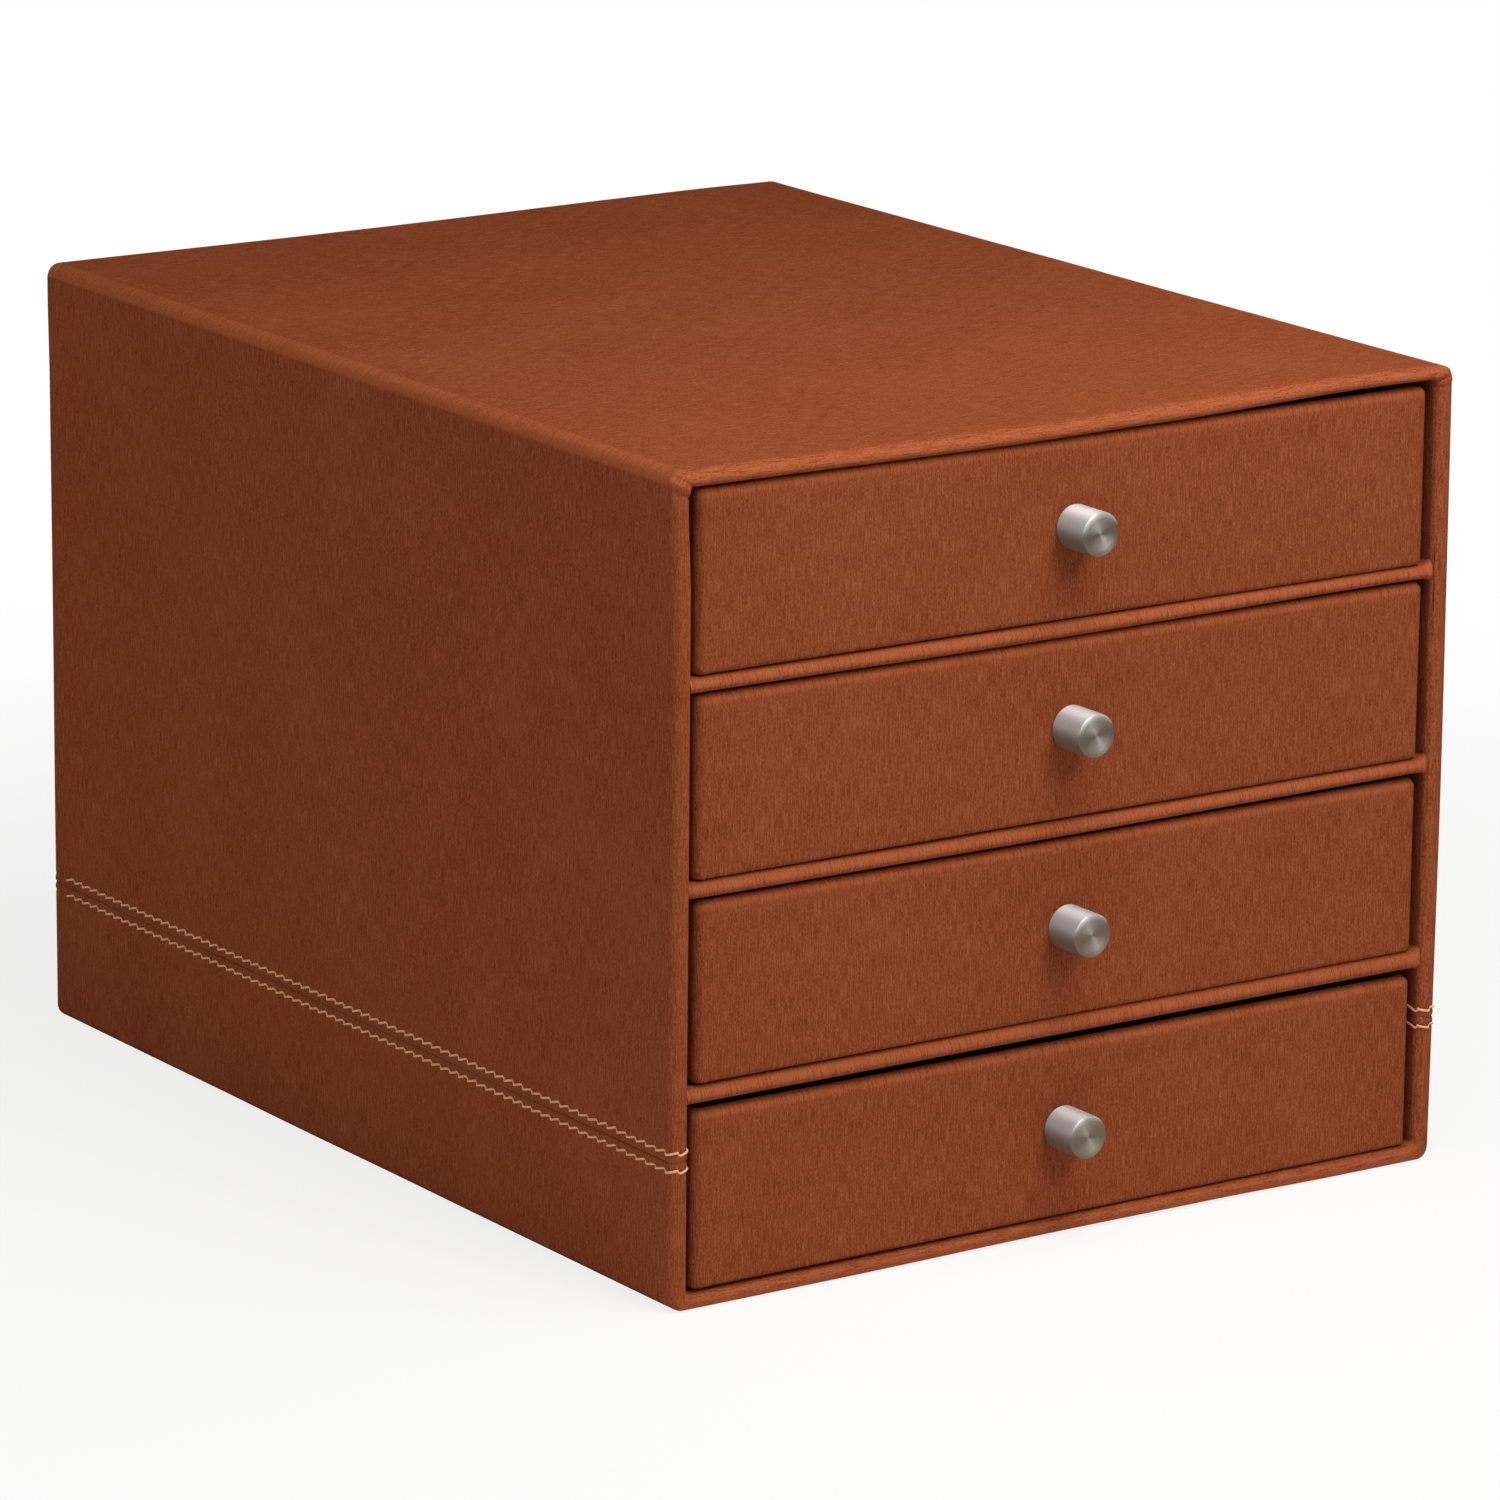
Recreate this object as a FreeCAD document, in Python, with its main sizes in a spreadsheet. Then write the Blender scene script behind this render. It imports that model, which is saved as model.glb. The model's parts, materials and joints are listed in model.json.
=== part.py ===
import FreeCAD, Part
import Sketcher
import math
import os

# Desktop mini drawers: a box of greyboard covered with leather-look paper, open at the front,
# with three shelves and four loose drawers, each with a turned aluminium knob.
#
# Frame, in millimetres: X to the right, Y to the back, Z up. The front faces -Y. The origin is
# the centre of the underside. The drawers are the driving size: the cells are the drawers plus
# their gaps, and the case is the cells plus its walls.
#
# Every board is cut from one form with bevelled edges, and every skin is what is left between
# that form and a larger one, grown by the paper's thickness. The paper rounds the outer edges
# and is folded crisply over the inner, rear and lowest ones. So boards and skins meet face to
# face.

os.makedirs("parts", exist_ok=True)
doc = FreeCAD.newDocument("desktop_mini_drawers")
sheet = doc.addObject("Spreadsheet::Sheet", "sizes")
worked = doc.addObject("App::VarSet", "worked")

DRIVING_SIZES = [
    ("drawer_width", 247.0, "outside width of a drawer"),
    ("drawer_depth", 327.0, "outside depth of a drawer, without its knob"),
    ("drawer_height", 51.0, "outside height of a drawer"),
    ("drawer_board", 2.5, "greyboard of the drawer walls and base"),
    ("drawer_edge_bevel", 1.2, "sanded outer edges of the drawer boards"),
    ("drawer_edge_share", 0.48, "most of the board that the outer bevel may take"),
    ("drawer_base_bevel", 0.4, "crisp lower edges of the drawer boards"),
    ("drawer_rim_bevel", 0.25, "sanded inner edge of the drawer rim"),
    ("drawer_rim_share", 0.1, "most of the board that the inner bevel may take"),
    ("drawer_turn_in", 12.0, "covering folded over the rim and down the inside"),
    ("paper", 0.5, "covering or lining paper with its glue"),
    ("side_board", 4.3, "greyboard of the two side walls"),
    ("flat_board", 3.2, "greyboard of the top, the bottom and the shelves"),
    ("rear_board", 3.2, "greyboard of the back"),
    ("corner_radius", 3.5, "long edges of the side boards, top and bottom"),
    ("corner_share", 0.82, "most of the side board that this rounding may take"),
    ("mouth_outer_bevel", 1.2, "front edge of the case boards, outside"),
    ("mouth_outer_share", 0.38, "most of the board that this bevel may take"),
    ("mouth_inner_bevel", 0.6, "front edge of the case boards, inside"),
    ("mouth_inner_share", 0.19, "most of the board that this bevel may take"),
    ("rear_edge_bevel", 0.6, "back edge of the case boards, outside"),
    ("shelf_nose_bevel", 1.2, "upper front edge of the shelf boards"),
    ("shelf_nose_share", 0.38, "most of the board that this bevel may take"),
    ("shelf_under_bevel", 0.3, "lower front edge of the shelf boards"),
    ("shelf_under_share", 0.1, "most of the board that this bevel may take"),
    ("cover_round_share", 1.65, "paper rounds a bevelled edge at this share of its bevel"),
    ("cover_fold_share", 0.586, "a crisp fold widens a bevel by this share of the paper"),
    ("case_turn_in", 15.0, "covering folded round the mouth into the cells"),
    ("rear_turn", 12.0, "covering folded round onto the back"),
    ("base_sheet", 0.4, "paper glued on under the bottom"),
    ("base_sheet_margin", 5.0, "the base sheet stops short of the case's edges by this"),
    ("left_gap", 1.8, "beside a drawer, left"),
    ("right_gap", 3.1, "beside a drawer, right"),
    ("slide_clearance", 0.2, "under a drawer"),
    ("bottom_head_gap", 2.4, "over the bottom drawer"),
    ("lower_head_gap", 1.2, "over the lower drawer"),
    ("upper_head_gap", 0.9, "over the upper drawer"),
    ("top_head_gap", 1.3, "over the top drawer"),
    ("front_recess", 1.4, "the drawer fronts stand back from the mouth"),
    ("shelf_recess", 0.5, "the shelves stand back from the mouth"),
    ("rear_gap", 2.4, "behind a drawer that is pushed home"),
    ("seam_height", 43.0, "the seam between the two wraps, above the ground"),
    ("seam_gap", 0.4, "the groove where the two wraps meet"),
    ("stitch_row_offset", 2.5, "each row of stitches from the seam"),
    ("stitch_pitch", 4.7, "from one stitch to the next"),
    ("stitch_spacing", 0.5, "between the ends of two stitches"),
    ("stitch_width", 1.0, "across a stitch at its front end"),
    ("stitch_thickness", 0.45, "how far a stitch stands proud"),
    ("stitch_rise", 0.7, "the front end of a stitch is higher by this"),
    ("stitch_margin", 4.0, "the rows stop short of the case's ends by this"),
    ("knob_diameter", 12.5, "turned knob"),
    ("knob_length", 12.0, "from the drawer front to the knob's end"),
    ("knob_offset", 1.4, "the knob sits to the right of the drawer's middle by this"),
    ("knob_rise", 0.5, "the knob sits above the drawer's middle by this"),
    ("knob_bevel", 0.6, "bright bevel round the knob's end"),
    ("screw_diameter", 4.0, "machine screw that holds the knob"),
    ("screw_head_diameter", 9.0, "wide flat head inside the drawer"),
    ("screw_head_height", 2.0, "flat head"),
    ("screw_reach", 8.0, "screw inside the knob"),
    ("screw_spare", 1.5, "bore beyond the screw's end"),
    ("screw_clearance", 0.15, "round the screw, in its holes and its bore"),
    ("cut_overrun", 1.0, "a cut runs past the face by this"),
]

WORKED_OUT = [
    ("side_wall", "sizes.side_board + 2 * sizes.paper"),
    ("flat_wall", "sizes.flat_board + 2 * sizes.paper"),
    ("rear_wall", "sizes.rear_board + 2 * sizes.paper"),
    ("drawer_wall", "sizes.drawer_board + 2 * sizes.paper"),
    ("cell_width", "sizes.drawer_width + sizes.left_gap + sizes.right_gap"),
    ("right", "cell_width / 2 + side_wall"),
    ("left", "-right"),
    ("back", "(sizes.front_recess + sizes.drawer_depth + sizes.rear_gap + rear_wall) / 2"),
    ("front", "-back"),
    ("drawer_left", "-cell_width / 2 + sizes.left_gap"),
    ("drawer_right", "drawer_left + sizes.drawer_width"),
    ("drawer_middle", "(drawer_left + drawer_right) / 2"),
    ("drawer_front", "front + sizes.front_recess"),
    ("drawer_back", "drawer_front + sizes.drawer_depth"),
    ("bottom_floor", "sizes.base_sheet + flat_wall"),
    ("bottom_base", "bottom_floor + sizes.slide_clearance"),
    ("bottom_rim", "bottom_base + sizes.drawer_height"),
    ("lower_floor", "bottom_rim + sizes.bottom_head_gap + flat_wall"),
    ("lower_base", "lower_floor + sizes.slide_clearance"),
    ("lower_rim", "lower_base + sizes.drawer_height"),
    ("upper_floor", "lower_rim + sizes.lower_head_gap + flat_wall"),
    ("upper_base", "upper_floor + sizes.slide_clearance"),
    ("upper_rim", "upper_base + sizes.drawer_height"),
    ("top_floor", "upper_rim + sizes.upper_head_gap + flat_wall"),
    ("top_base", "top_floor + sizes.slide_clearance"),
    ("top_rim", "top_base + sizes.drawer_height"),
    ("ceiling", "top_rim + sizes.top_head_gap"),
    ("roof", "ceiling + flat_wall"),
    ("corner", "min(sizes.corner_radius; sizes.corner_share * sizes.side_board)"),
    ("thin_wall_board", "min(sizes.side_board; sizes.flat_board)"),
    ("mouth_outer", "min(sizes.mouth_outer_bevel; sizes.mouth_outer_share * thin_wall_board)"),
    ("mouth_inner", "min(sizes.mouth_inner_bevel; sizes.mouth_inner_share * thin_wall_board)"),
    ("shelf_nose", "min(sizes.shelf_nose_bevel; sizes.shelf_nose_share * sizes.flat_board)"),
    ("shelf_under", "min(sizes.shelf_under_bevel; sizes.shelf_under_share * sizes.flat_board)"),
    ("drawer_edge", "min(sizes.drawer_edge_bevel; sizes.drawer_edge_share * sizes.drawer_board)"),
    ("drawer_rim", "min(sizes.drawer_rim_bevel; sizes.drawer_rim_share * sizes.drawer_board)"),
    ("hole_radius", "sizes.screw_diameter / 2 + sizes.screw_clearance"),
    ("knob_x", "drawer_middle + sizes.knob_offset"),
]

DRAWERS = ["bottom", "lower", "upper", "top"]

# Two points closer than this are one point when edges are picked.
SAME_PLACE = 1e-4

nodes = []


def fill_sheet():
    """Put the driving sizes into the sheet and the sizes worked out from them beside it."""
    for row, (alias, value, note) in enumerate(DRIVING_SIZES, start=1):
        sheet.set(f"A{row}", alias)
        sheet.set(f"B{row}", str(value))
        sheet.set(f"C{row}", note)
        sheet.setAlias(f"B{row}", alias)
    doc.recompute()
    for name, rule in WORKED_OUT:
        worked.addProperty("App::PropertyFloat", name, "worked out")
        worked.setExpression(name, rule)
    doc.recompute()


def value(rule):
    """The number that a rule gives with the sheet's present sizes."""
    return float(worked.evalExpression(rule))


def keep(piece, name):
    """Name a finished piece; it is written to a file of that name."""
    piece.Label = name
    nodes.append(piece)
    return piece


def inset(span, by):
    """A span between two rules, drawn in at both ends."""
    low, high = span
    return (f"{low} + {by}", f"{high} - {by}")


def set_block(block, spans):
    """Bind a block's corner and sides to one span of rules for each of X, Y and Z."""
    for axis, side, (low, high) in zip("xyz", ("Length", "Width", "Height"), spans):
        block.setExpression(f"Placement.Base.{axis}", low)
        block.setExpression(side, f"({high}) - ({low})")


def box(name, spans):
    """A plain square block."""
    block = doc.addObject("Part::Box", name)
    set_block(block, spans)
    return block


def combine(kind, name, base, tool):
    """A boolean of two objects: Cut or Common."""
    result = doc.addObject(f"Part::{kind}", name)
    result.Base = base
    result.Tool = tool
    return result


def edge_names(shape, wanted):
    """The names of the edges that a test picks."""
    return [f"Edge{i}" for i, edge in enumerate(shape.Edges, start=1) if wanted(edge)]


def soften_edges(body, kind, name, amount, wanted):
    """Round or bevel the edges of a body that a test picks, by an amount given as a rule."""
    doc.recompute()
    base = body.Tip
    softened = body.newObject(f"PartDesign::{kind}", name)
    softened.Base = (base, edge_names(base.Shape, wanted))
    softened.setExpression("Radius" if kind == "Fillet" else "Size", amount)
    return softened


def rounded(bevel):
    """The radius at which paper goes round an edge with this bevel, as a rule."""
    return f"sizes.paper + sizes.cover_round_share * {bevel}"


def folded(bevel):
    """The bevel of paper that is folded crisply over an edge with this bevel, as a rule."""
    return f"{bevel} + sizes.cover_fold_share * sizes.paper"


def block_body(name, spans):
    """A body that starts as one block."""
    body = doc.addObject("PartDesign::Body", name)
    block = body.newObject("PartDesign::AdditiveBox", f"{name}_block")
    set_block(block, spans)
    return body


def hollow_out(body, name, spans):
    """Take a block out of a body."""
    hollow = body.newObject("PartDesign::SubtractiveBox", name)
    set_block(hollow, spans)
    return hollow


def within(edge, axis, low, high):
    """True where an edge lies between two places along X, Y or Z."""
    bounds = edge.BoundBox
    lowest = {"x": bounds.XMin, "y": bounds.YMin, "z": bounds.ZMin}[axis]
    highest = {"x": bounds.XMax, "y": bounds.YMax, "z": bounds.ZMax}[axis]
    return lowest > low - SAME_PLACE and highest < high + SAME_PLACE


def at(edge, axis, place):
    """True where a whole edge lies at one place along X, Y or Z."""
    return within(edge, axis, place, place)


def case_form(name, outside, hollow, kind, corner, outer, inner, rear):
    """The case as one block with one hollow: with paper and round, or its bevelled boards."""
    body = block_body(name, outside)
    x_low, x_high, z_low, z_high = [value(rule) for rule in outside[0] + outside[2]]
    front, back = value(outside[1][0]), value(outside[1][1])

    def long_edge(edge):
        beside = at(edge, "x", x_low) or at(edge, "x", x_high)
        above_or_below = at(edge, "z", z_low) or at(edge, "z", z_high)
        return beside and above_or_below

    def mouth_edge(edge):
        middle = edge.CenterOfMass
        in_x = value(hollow[0][0]) - SAME_PLACE < middle.x < value(hollow[0][1]) + SAME_PLACE
        in_z = value(hollow[2][0]) - SAME_PLACE < middle.z < value(hollow[2][1]) + SAME_PLACE
        return at(edge, "y", front) and in_x and in_z

    soften_edges(body, "Fillet", f"{name}_corners", corner, long_edge)
    soften_edges(body, kind, f"{name}_front", outer, lambda edge: at(edge, "y", front))
    soften_edges(body, "Chamfer", f"{name}_rear", rear, lambda edge: at(edge, "y", back))
    hollow_out(body, f"{name}_hollow", hollow)
    soften_edges(body, "Chamfer", f"{name}_mouth", inner, mouth_edge)
    return body


def build_case():
    """The walls, their wraps and the sheets that line them."""
    outside = (
        ("worked.left", "worked.right"),
        ("worked.front", "worked.back"),
        ("sizes.base_sheet", "worked.roof"),
    )
    boards = tuple(inset(span, "sizes.paper") for span in outside)
    board_hollow = (
        inset(boards[0], "sizes.side_board"),
        (f"{outside[1][0]} - sizes.cut_overrun", f"{boards[1][1]} - sizes.rear_board"),
        inset(boards[2], "sizes.flat_board"),
    )
    lined_hollow = (
        inset(board_hollow[0], "sizes.paper"),
        (board_hollow[1][0], f"{board_hollow[1][1]} - sizes.paper"),
        inset(board_hollow[2], "sizes.paper"),
    )
    papered = case_form(
        "papered_case",
        outside,
        lined_hollow,
        "Fillet",
        "worked.corner + sizes.paper",
        rounded("worked.mouth_outer"),
        folded("worked.mouth_inner"),
        folded("sizes.rear_edge_bevel"),
    )
    bare = case_form(
        "bare_case",
        boards,
        board_hollow,
        "Chamfer",
        "worked.corner",
        "worked.mouth_outer",
        "worked.mouth_inner",
        "sizes.rear_edge_bevel",
    )
    build_case_boards(bare, boards, board_hollow)
    build_case_papers(papered, bare, outside, board_hollow, lined_hollow)
    return lined_hollow


def build_case_boards(bare, boards, hollow):
    """Two full-height sides, with the top, the bottom and the back between them."""
    (left, right), (front, back), (low, high) = boards
    (inner_left, inner_right), _, (inner_low, inner_high) = hollow
    inner_back = hollow[1][1]
    depth = (front, back)
    between = (inner_left, inner_right)
    cuts = {
        "left_side_board": ((left, inner_left), depth, (low, high)),
        "right_side_board": ((inner_right, right), depth, (low, high)),
        "top_board": (between, depth, (inner_high, high)),
        "bottom_board": (between, depth, (low, inner_low)),
        "back_board": (between, (inner_back, back), (inner_low, inner_high)),
    }
    for name, spans in cuts.items():
        keep(combine("Common", f"{name}_cut", bare, box(f"{name}_region", spans)), name)


def build_case_papers(papered, bare, outside, board_hollow, lined_hollow):
    """The outer wraps with their turned-in edges, the back and base sheets and the linings."""
    (left, right), (front, back), (low, high) = outside
    turned_in = f"{front} + sizes.case_turn_in"
    lined_depth = (turned_in, board_hollow[1][1])
    skin = combine("Cut", "case_skin", papered, bare)
    lining_room = box("lining_room", (board_hollow[0], lined_depth, board_hollow[2]))
    wraps = combine("Cut", "case_wraps", skin, lining_room)
    rear_room_x = inset((left, right), "sizes.rear_turn")
    rear_room_z = inset((low, high), "sizes.rear_turn")
    rear_skin_y = (f"{back} - sizes.paper", f"{back} + sizes.cut_overrun")
    rear_room = box("rear_room", (rear_room_x, rear_skin_y, rear_room_z))
    open_wraps = combine("Cut", "open_wraps", wraps, rear_room)
    around_x = (f"{left} - sizes.cut_overrun", f"{right} + sizes.cut_overrun")
    around_y = (f"{front} - sizes.cut_overrun", f"{back} + sizes.cut_overrun")
    upper_z = ("sizes.seam_height + sizes.seam_gap / 2", f"{high} + sizes.cut_overrun")
    lower_z = (f"{low} - sizes.cut_overrun", "sizes.seam_height - sizes.seam_gap / 2")
    upper_room = box("upper_room", (around_x, around_y, upper_z))
    lower_room = box("lower_room", (around_x, around_y, lower_z))
    keep(combine("Common", "upper_wrap_cut", open_wraps, upper_room), "upper_wrap")
    keep(combine("Common", "lower_wrap_cut", open_wraps, lower_room), "lower_wrap")
    keep(box("back_sheet_block", (rear_room_x, (f"{back} - sizes.paper", back), rear_room_z)), "back_sheet")
    base_x = inset((left, right), "sizes.base_sheet_margin")
    base_y = inset((front, back), "sizes.base_sheet_margin")
    keep(box("base_sheet_block", (base_x, base_y, ("0", "sizes.base_sheet"))), "base_sheet")
    (inner_left, inner_right), _, (inner_low, inner_high) = board_hollow
    (lined_left, lined_right), _, (lined_low, lined_high) = lined_hollow
    between = lined_hollow[0]
    linings = {
        "left_lining": ((inner_left, lined_left), lined_depth, board_hollow[2]),
        "right_lining": ((lined_right, inner_right), lined_depth, board_hollow[2]),
        "floor_lining": (between, lined_depth, (inner_low, lined_low)),
        "ceiling_lining": (between, lined_depth, (lined_high, inner_high)),
        "back_lining": (between, (lined_hollow[1][1], board_hollow[1][1]), lined_hollow[2]),
    }
    for name, spans in linings.items():
        keep(box(f"{name}_block", spans), name)


def build_shelf(name, floor, lined_hollow):
    """A shelf under the cell whose floor is given, and the paper folded round its front."""
    front = "worked.front + sizes.shelf_recess"
    papered_spans = (
        lined_hollow[0],
        (front, lined_hollow[1][1]),
        (f"{floor} - worked.flat_wall", floor),
    )
    bare_spans = (
        lined_hollow[0],
        (f"{front} + sizes.paper", lined_hollow[1][1]),
        inset(papered_spans[2], "sizes.paper"),
    )
    papered = block_body(f"{name}_papered", papered_spans)
    bare = block_body(f"{name}_bare", bare_spans)
    for body, spans, kind, under, nose in (
        (papered, papered_spans, "Fillet", rounded("worked.shelf_under"), rounded("worked.shelf_nose")),
        (bare, bare_spans, "Chamfer", "worked.shelf_under", "worked.shelf_nose"),
    ):
        for part, amount, height in (("under", under, spans[2][0]), ("nose", nose, spans[2][1])):
            edge_y, edge_z = value(spans[1][0]), value(height)

            def front_edge(edge, edge_y=edge_y, edge_z=edge_z):
                return at(edge, "y", edge_y) and at(edge, "z", edge_z)

            soften_edges(body, kind, f"{body.Name}_{part}", amount, front_edge)
    keep(combine("Cut", f"{name}_cover_cut", papered, bare), f"{name}_cover")
    keep(bare, f"{name}_board")


def stitch(length, width, reach, rise):
    """One stitch along Y, its foot on X = 0: proud and high in front, and it dives at its back."""
    lower = FreeCAD.Vector(0, 0, (rise - width) / 2)
    upper = FreeCAD.Vector(0, 0, (rise + width) / 2)
    crest = FreeCAD.Vector(reach, 0, rise / 2)
    tail = FreeCAD.Vector(0, length, -rise / 2)
    sides = [
        Part.Face(Part.makePolygon([*corners, corners[0]]))
        for corners in (
            (lower, upper, crest),
            (upper, lower, tail),
            (lower, crest, tail),
            (crest, upper, tail),
        )
    ]
    solid = Part.Solid(Part.Shell(sides))
    solid.fix(0, 0, 0)
    return solid


def build_stitching(name, side):
    """Two rows of stitches on one side wall, one each side of the seam: side is -1 or 1."""
    pitch = value("sizes.stitch_pitch")
    width = value("sizes.stitch_width")
    thickness = value("sizes.stitch_thickness")
    start = value("worked.front + sizes.stitch_margin")
    run = value("worked.back - worked.front - 2 * sizes.stitch_margin")
    length = value("sizes.stitch_pitch - sizes.stitch_spacing")
    foot = side * value("worked.right")
    one = stitch(length, width, side * thickness, value("sizes.stitch_rise"))
    stitches = []
    for row in (-1, 1):
        height = value("sizes.seam_height") + row * value("sizes.stitch_row_offset")
        for index in range(math.floor(run / pitch)):
            copy = one.copy()
            copy.translate(FreeCAD.Vector(foot, start + index * pitch, height))
            stitches.append(copy)
    thread = doc.addObject("Part::Feature", f"{name}_rows")
    thread.Shape = Part.makeCompound(stitches)
    thread.Placement = FreeCAD.Placement()
    keep(thread, name)


def drawer_form(name, outside, hollow, kind, outer, under, inner):
    """A drawer as one tray: with paper and round, or its bevelled boards."""
    body = block_body(name, outside)
    base = value(outside[2][0])
    soften_edges(body, kind, f"{name}_edges", outer, lambda edge: not at(edge, "z", base))
    soften_edges(body, "Chamfer", f"{name}_base", under, lambda edge: at(edge, "z", base))
    hollow_out(body, f"{name}_hollow", hollow)
    rim = value(outside[2][1])
    x_span = [value(rule) for rule in hollow[0]]
    y_span = [value(rule) for rule in hollow[1]]

    def inner_rim(edge):
        return at(edge, "z", rim) and within(edge, "x", *x_span) and within(edge, "y", *y_span)

    soften_edges(body, "Chamfer", f"{name}_rim", inner, inner_rim)
    return body


def build_drawer(level):
    """One drawer: five boards, the cover with its turned-in rim, the lining, knob and screw."""
    prefix = f"{level}_drawer"
    outside = (
        ("worked.drawer_left", "worked.drawer_right"),
        ("worked.drawer_front", "worked.drawer_back"),
        (f"worked.{level}_base", f"worked.{level}_rim"),
    )
    above = f"worked.{level}_rim + sizes.cut_overrun"
    boards = tuple(inset(span, "sizes.paper") for span in outside)
    board_hollow = (
        inset(boards[0], "sizes.drawer_board"),
        inset(boards[1], "sizes.drawer_board"),
        (f"{boards[2][0]} + sizes.drawer_board", above),
    )
    lined_hollow = (
        inset(board_hollow[0], "sizes.paper"),
        inset(board_hollow[1], "sizes.paper"),
        (f"{board_hollow[2][0]} + sizes.paper", above),
    )
    papered = drawer_form(
        f"{prefix}_papered",
        outside,
        lined_hollow,
        "Fillet",
        rounded("worked.drawer_edge"),
        folded("sizes.drawer_base_bevel"),
        folded("worked.drawer_rim"),
    )
    bare = drawer_form(
        f"{prefix}_bare",
        boards,
        board_hollow,
        "Chamfer",
        "worked.drawer_edge",
        "sizes.drawer_base_bevel",
        "worked.drawer_rim",
    )
    knob_z = f"(worked.{level}_base + worked.{level}_rim) / 2 + sizes.knob_rise"
    hole = doc.addObject("Part::Cylinder", f"{prefix}_hole")
    hole.setExpression("Radius", "worked.hole_radius")
    hole.setExpression("Height", "worked.drawer_wall + 2 * sizes.cut_overrun")
    stand_on_front(hole, knob_z, "worked.drawer_wall + sizes.cut_overrun")
    build_drawer_boards(prefix, bare, boards, board_hollow, hole)
    lining_top = f"{outside[2][1]} - sizes.paper - sizes.drawer_turn_in"
    lining_room = box(
        f"{prefix}_lining_room", (board_hollow[0], board_hollow[1], (board_hollow[2][0], lining_top))
    )
    lining_hollow = box(f"{prefix}_lining_hollow", lined_hollow)
    lining_tray = combine("Cut", f"{prefix}_lining_tray", lining_room, lining_hollow)
    skin = combine("Cut", f"{prefix}_skin", papered, bare)
    skin_over_lining = combine("Cut", f"{prefix}_skin_over_lining", skin, lining_room)
    keep(combine("Cut", f"{prefix}_cover_cut", skin_over_lining, hole), f"{prefix}_cover")
    keep(combine("Cut", f"{prefix}_lining_cut", lining_tray, hole), f"{prefix}_lining")
    build_knob(f"{prefix}_knob", knob_z)
    build_screw(f"{prefix}_screw", knob_z)


def stand_on_front(piece, knob_z, depth):
    """Turn a piece so that its Z points out of the drawer front, and start it that deep."""
    forwards = FreeCAD.Rotation(FreeCAD.Vector(1, 0, 0), 90)
    piece.Placement = FreeCAD.Placement(FreeCAD.Vector(0, 0, 0), forwards)
    piece.setExpression("Placement.Base.x", "worked.knob_x")
    piece.setExpression("Placement.Base.y", f"worked.drawer_front + {depth}")
    piece.setExpression("Placement.Base.z", knob_z)


def build_drawer_boards(prefix, bare, boards, hollow, hole):
    """Front and back boards across the whole width, sides between them, base inside."""
    (left, right), (front, back), height = boards
    (inner_left, inner_right), (inner_front, inner_back), _ = hollow
    between = (inner_front, inner_back)
    cuts = {
        "left_side": ((left, inner_left), between, height),
        "right_side": ((inner_right, right), between, height),
        "back": ((left, right), (inner_back, back), height),
        "front": ((left, right), (front, inner_front), height),
    }
    for name, spans in cuts.items():
        region = box(f"{prefix}_{name}_region", spans)
        board = combine("Common", f"{prefix}_{name}_cut", bare, region)
        if name == "front":
            board = combine("Cut", f"{prefix}_{name}_drilled", board, hole)
        keep(board, f"{prefix}_{name}_board")
    base_height = (height[0], f"{height[0]} + sizes.drawer_board")
    base = box(f"{prefix}_base_block", ((inner_left, inner_right), between, base_height))
    keep(base, f"{prefix}_base_board")


def add_profile(body, name, points):
    """A closed sketch on the body's own XZ plane, with each corner bound to two rules."""
    sketch = body.newObject("Sketcher::SketchObject", name)
    plane = next(item for item in body.Origin.OriginFeatures if item.Role == "XZ_Plane")
    sketch.AttachmentSupport = [(plane, "")]
    sketch.MapMode = "FlatFace"
    places = [FreeCAD.Vector(value(x_rule), value(y_rule), 0) for x_rule, y_rule in points]
    for index, place in enumerate(places):
        following = places[(index + 1) % len(places)]
        sketch.addGeometry(Part.LineSegment(place, following), False)
    for index, (x_rule, y_rule) in enumerate(points):
        following = (index + 1) % len(points)
        sketch.addConstraint(Sketcher.Constraint("Coincident", index, 2, following, 1))
        for kind, rule, axis, number in (
            ("DistanceX", x_rule, -2, places[index].x),
            ("DistanceY", y_rule, -1, places[index].y),
        ):
            if rule == "0":
                sketch.addConstraint(Sketcher.Constraint("PointOnObject", index, 1, axis))
                continue
            made = sketch.addConstraint(Sketcher.Constraint(kind, -1, 1, index, 1, number))
            sketch.setExpression(f"Constraints[{made}]", rule)
    return sketch


def build_knob(name, knob_z):
    """A turned knob: a plain cylinder with a bevelled end and a blind bore for the screw."""
    radius = "sizes.knob_diameter / 2"
    end = "sizes.knob_length"
    bore_end = "sizes.screw_reach + sizes.screw_spare"
    body = doc.addObject("PartDesign::Body", f"{name}_turned")
    sketch = add_profile(
        body,
        f"{name}_profile",
        [
            ("worked.hole_radius", "0"),
            (radius, "0"),
            (radius, f"{end} - sizes.knob_bevel"),
            (f"{radius} - sizes.knob_bevel", end),
            ("0", end),
            ("0", bore_end),
            ("worked.hole_radius", bore_end),
        ],
    )
    doc.recompute()
    turning = body.newObject("PartDesign::Revolution", f"{name}_turning")
    turning.Profile = sketch
    turning.ReferenceAxis = (sketch, ["V_Axis"])
    turning.Angle = 360
    body.Tip = turning
    stand_on_front(body, knob_z, "0")
    keep(body, name)


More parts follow.
